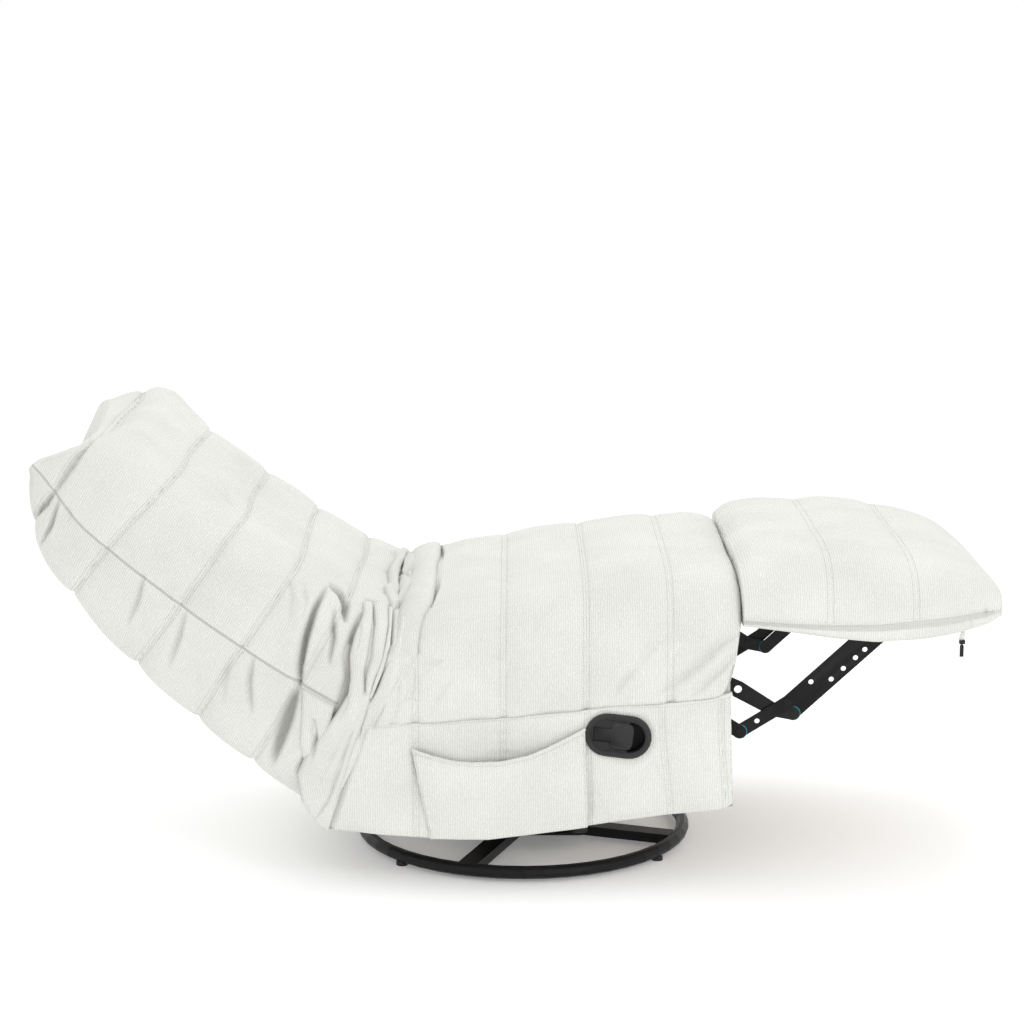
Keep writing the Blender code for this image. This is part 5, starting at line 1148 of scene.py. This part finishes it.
def fabric_material():
    """Off-white slubby cloth: ribs with staggered slubs, double stitch rows beside each seam, and painted
    shade in its folds and along its seam lines.
    """
    material, tree, shader = shader_of("fabric")
    times, plus, minus, over, size, sine, floor = (partial(reckon, tree, operation) for operation in (
        "MULTIPLY", "ADD", "SUBTRACT", "DIVIDE", "ABSOLUTE", "SINE", "FLOOR"))
    cloth = add(tree, "ShaderNodeAttribute", attribute_name="cloth").outputs["Vector"]
    seam, seam_run, fold = (add(tree, "ShaderNodeAttribute", attribute_name=name).outputs["Fac"]
                            for name in ("seam", "seam_run", "fold"))

    def noise(kind, place, **settings):
        node = add(tree, "ShaderNodeTex" + kind, **settings)
        feed(tree, node.inputs["Vector"], place)
        return node.outputs[0]

    split = add(tree, "ShaderNodeSeparateXYZ")
    feed(tree, split.inputs[0], cloth)
    slip = times(minus(noise("Noise", cloth, **WEAVE_WOBBLE), 0.5), WEAVE_SLIP)
    across = plus(times(split.outputs["X"], 1 / RIB), slip)
    down = plus(times(split.outputs["Y"], 1 / SLUB), times(floor(across), STAGGER))
    rib, slub = (size(sine(times(run, math.pi))) for run in (across, down))
    cell = add(tree, "ShaderNodeCombineXYZ")
    feed(tree, cell.inputs[0], floor(across))
    feed(tree, cell.inputs[1], floor(down))
    chance = noise("WhiteNoise", cell.outputs[0], noise_dimensions="3D")
    yarn = times(rib, plus(times(slub, SLUB_SHARE), SLUB_LEAST))
    yarn = times(yarn, plus(times(chance, CHANCE_SHARE), CHANCE_LEAST))
    yarn = plus(yarn, times(noise("Noise", cloth, **YARN_FUZZ), FUZZ_SHARE))
    row = minus(1.0, over(size(minus(seam, STITCH_OFFSET)), THREAD), clamp=True)
    dash = plus(times(sine(times(seam_run, 2 * math.pi / STITCH)), DASH_GAIN), DASH_LIFT, clamp=True)
    stitch = times(row, dash)
    # A thin line right on each seam: a dip in height, and painted shade in the colour
    crease = minus(1.0, over(seam, CREASE), clamp=True)
    broad = noise("Noise", cloth, **CLOTH_CLOUDS)
    shade = plus(times(yarn, YARN_TONE), times(broad, CLOUD_TONE), clamp=True)
    colour = mix_colour(tree, shade, FABRIC_DARK, FABRIC_LIGHT)
    # Painted shade: the cloth darkens in deep folds and along the edges of the crease's folds
    colour = mix_colour(tree, times(fold, PAINTED_FOLD_SHADE_MIX), colour, PAINTED_FOLD_SHADE)
    # Painted shade along each seam's line; then the stitch thread's colour
    colour = mix_colour(tree, times(crease, PAINTED_SEAM_SHADE_MIX), colour, THREAD_AND_PAINTED_SEAM_SHADE)
    colour = mix_colour(tree, times(stitch, STITCH_MIX), colour, THREAD_AND_PAINTED_SEAM_SHADE)
    feed(tree, shader.inputs["Base Color"], colour)
    height = minus(minus(yarn, times(stitch, STITCH_DIP)), times(crease, CREASE_DIP))
    add_bump(tree, shader, height, *FABRIC_BUMP)
    feed(tree, shader.inputs["Roughness"], plus(times(chance, CHANCE_ROUGH), FABRIC_ROUGH))
    set_inputs(shader, **FABRIC_GLOSS)
    return material


def hard_material(name, colour, rough, metallic=0.0, grain=220.0, bump_size=0.00012, specular=0.4,
                  sharp_edge_colour=None):
    """A painted, plated or moulded surface with fine grain, cloudy gloss and, where given, a lighter colour
    on its sharp edges.
    """
    material, tree, shader = shader_of(name)
    place = add(tree, "ShaderNodeTexCoord").outputs["Object"]
    fine = add(tree, "ShaderNodeTexNoise", Scale=grain, **FINE_GRAIN)
    cloud = add(tree, "ShaderNodeTexNoise", **GLOSS_CLOUDS)
    for texture in (fine, cloud):
        feed(tree, texture.inputs["Vector"], place)
    mottled = tuple(min(1.0, c * MOTTLE_GAIN + MOTTLE_LIFT) for c in colour[:3]) + (1,)
    tone = mix_colour(tree, cloud.outputs["Fac"], colour, mottled)
    # Lighter colour on sharp edges, where given
    if sharp_edge_colour:
        sharpness = add(tree, "ShaderNodeNewGeometry").outputs["Pointiness"]
        ridge = reckon(tree, "SUBTRACT", sharpness, SHARP_EDGE_FROM)
        ridge = reckon(tree, "MULTIPLY", ridge, SHARP_EDGE_GAIN, clamp=True)
        tone = mix_colour(tree, reckon(tree, "MULTIPLY", ridge, fine.outputs["Fac"]), tone, sharp_edge_colour)
    feed(tree, shader.inputs["Base Color"], tone)
    gloss = reckon(tree, "MULTIPLY", cloud.outputs["Fac"], GLOSS_SPREAD)
    feed(tree, shader.inputs["Roughness"], reckon(tree, "ADD", gloss, rough - GLOSS_SPREAD / 2))
    set_inputs(shader, Metallic=metallic, Specular_IOR_Level=specular)
    add_bump(tree, shader, fine.outputs["Fac"], FINE_BUMP, bump_size)
    return material


def wood_material():
    """Plywood: long grain with darker streaks."""
    material, tree, shader = shader_of("plywood")
    stretch = add(tree, "ShaderNodeMapping", Scale=WOOD_STRETCH)
    feed(tree, stretch.inputs["Vector"], add(tree, "ShaderNodeTexCoord").outputs["Object"])
    grain = add(tree, "ShaderNodeTexNoise", **WOOD_GRAIN)
    feed(tree, grain.inputs["Vector"], stretch.outputs[0])
    feed(tree, shader.inputs["Base Color"], mix_colour(tree, grain.outputs["Fac"], WOOD_DARK, WOOD_LIGHT))
    add_bump(tree, shader, grain.outputs["Fac"], *WOOD_BUMP)
    set_inputs(shader, Roughness=WOOD_ROUGH)
    return material


def paint_nodes(materials):
    """Gives each CAD node its procedural material."""
    slots = {row["node"]: row["material_slot"] for row in frame["record"]["subparts"]}
    for name, node in NODES.items():
        node.data.materials.clear()
        node.data.materials.append(materials[slots[name]])


def make_floor():
    """A pale floor that runs out of sight."""
    corners = [(x * FLOOR_REACH, y * FLOOR_REACH, 0) for x, y in ((-1, -1), (1, -1), (1, 1), (-1, 1))]
    mesh = bpy.data.meshes.new("floor")
    mesh.from_pydata(corners, [], [(0, 1, 2, 3)])
    material, _, shader = shader_of("floor")
    set_inputs(shader, Base_Color=(FLOOR_GREY, FLOOR_GREY, FLOOR_GREY, 1), Roughness=FLOOR_ROUGH,
               Specular_IOR_Level=0.0, Emission_Color=(1, 1, 1, 1), Emission_Strength=FLOOR_GLOW)
    mesh.materials.append(material)
    linked("floor", mesh)


def make_lights():
    """White light from all round, and soft lamps above and to both sides."""
    world = bpy.data.worlds.new("studio")
    bpy.context.scene.world = world
    world.use_nodes = True
    set_inputs(world.node_tree.nodes["Background"], Color=(1.0, 1.0, 1.0, 1), Strength=WORLD_LIGHT)
    for name, place, target, (width, height), power in LIGHTS:
        data = bpy.data.lights.new(name, "AREA")
        data.shape, data.size, data.size_y, data.energy = "RECTANGLE", width, height, power
        lamp = linked(name, data)
        lamp.location = place
        lamp.rotation_euler = (Vector(target) - Vector(place)).to_track_quat("-Z", "Y").to_euler()


def make_camera():
    """The photograph's view."""
    scene = bpy.context.scene
    scene.view_settings.view_transform = "Standard"
    camera = linked("camera", bpy.data.cameras.new("camera"))
    camera.location = CAMERA_PLACE
    camera.rotation_euler = (CAMERA_PITCH, 0, 0)
    camera.data.lens, camera.data.sensor_width, camera.data.clip_end = CAMERA_LENS, SENSOR, FARTHEST
    scene.camera = camera


def main():
    materials = {name: hard_material(name, **look) for name, look in HARD_LOOKS.items()}
    materials.update(fabric=fabric_material(), plywood=wood_material())
    fabric = materials["fabric"]
    paint_nodes(materials)
    make_back_cover(fabric)
    make_seat_cover(fabric)
    for side in (NEAR, FAR):
        make_side_panel(side, fabric)
        make_pleats(side, fabric)
        make_welt(side, fabric)
    make_pocket(fabric)
    make_footrest_cover(fabric)
    make_zipper_tape(fabric)
    for side in (NEAR, FAR):
        make_washers(side, materials["nylon"])
    make_handle_plate(materials["black_plastic"])
    make_floor()
    make_lights()
    make_camera()


main()
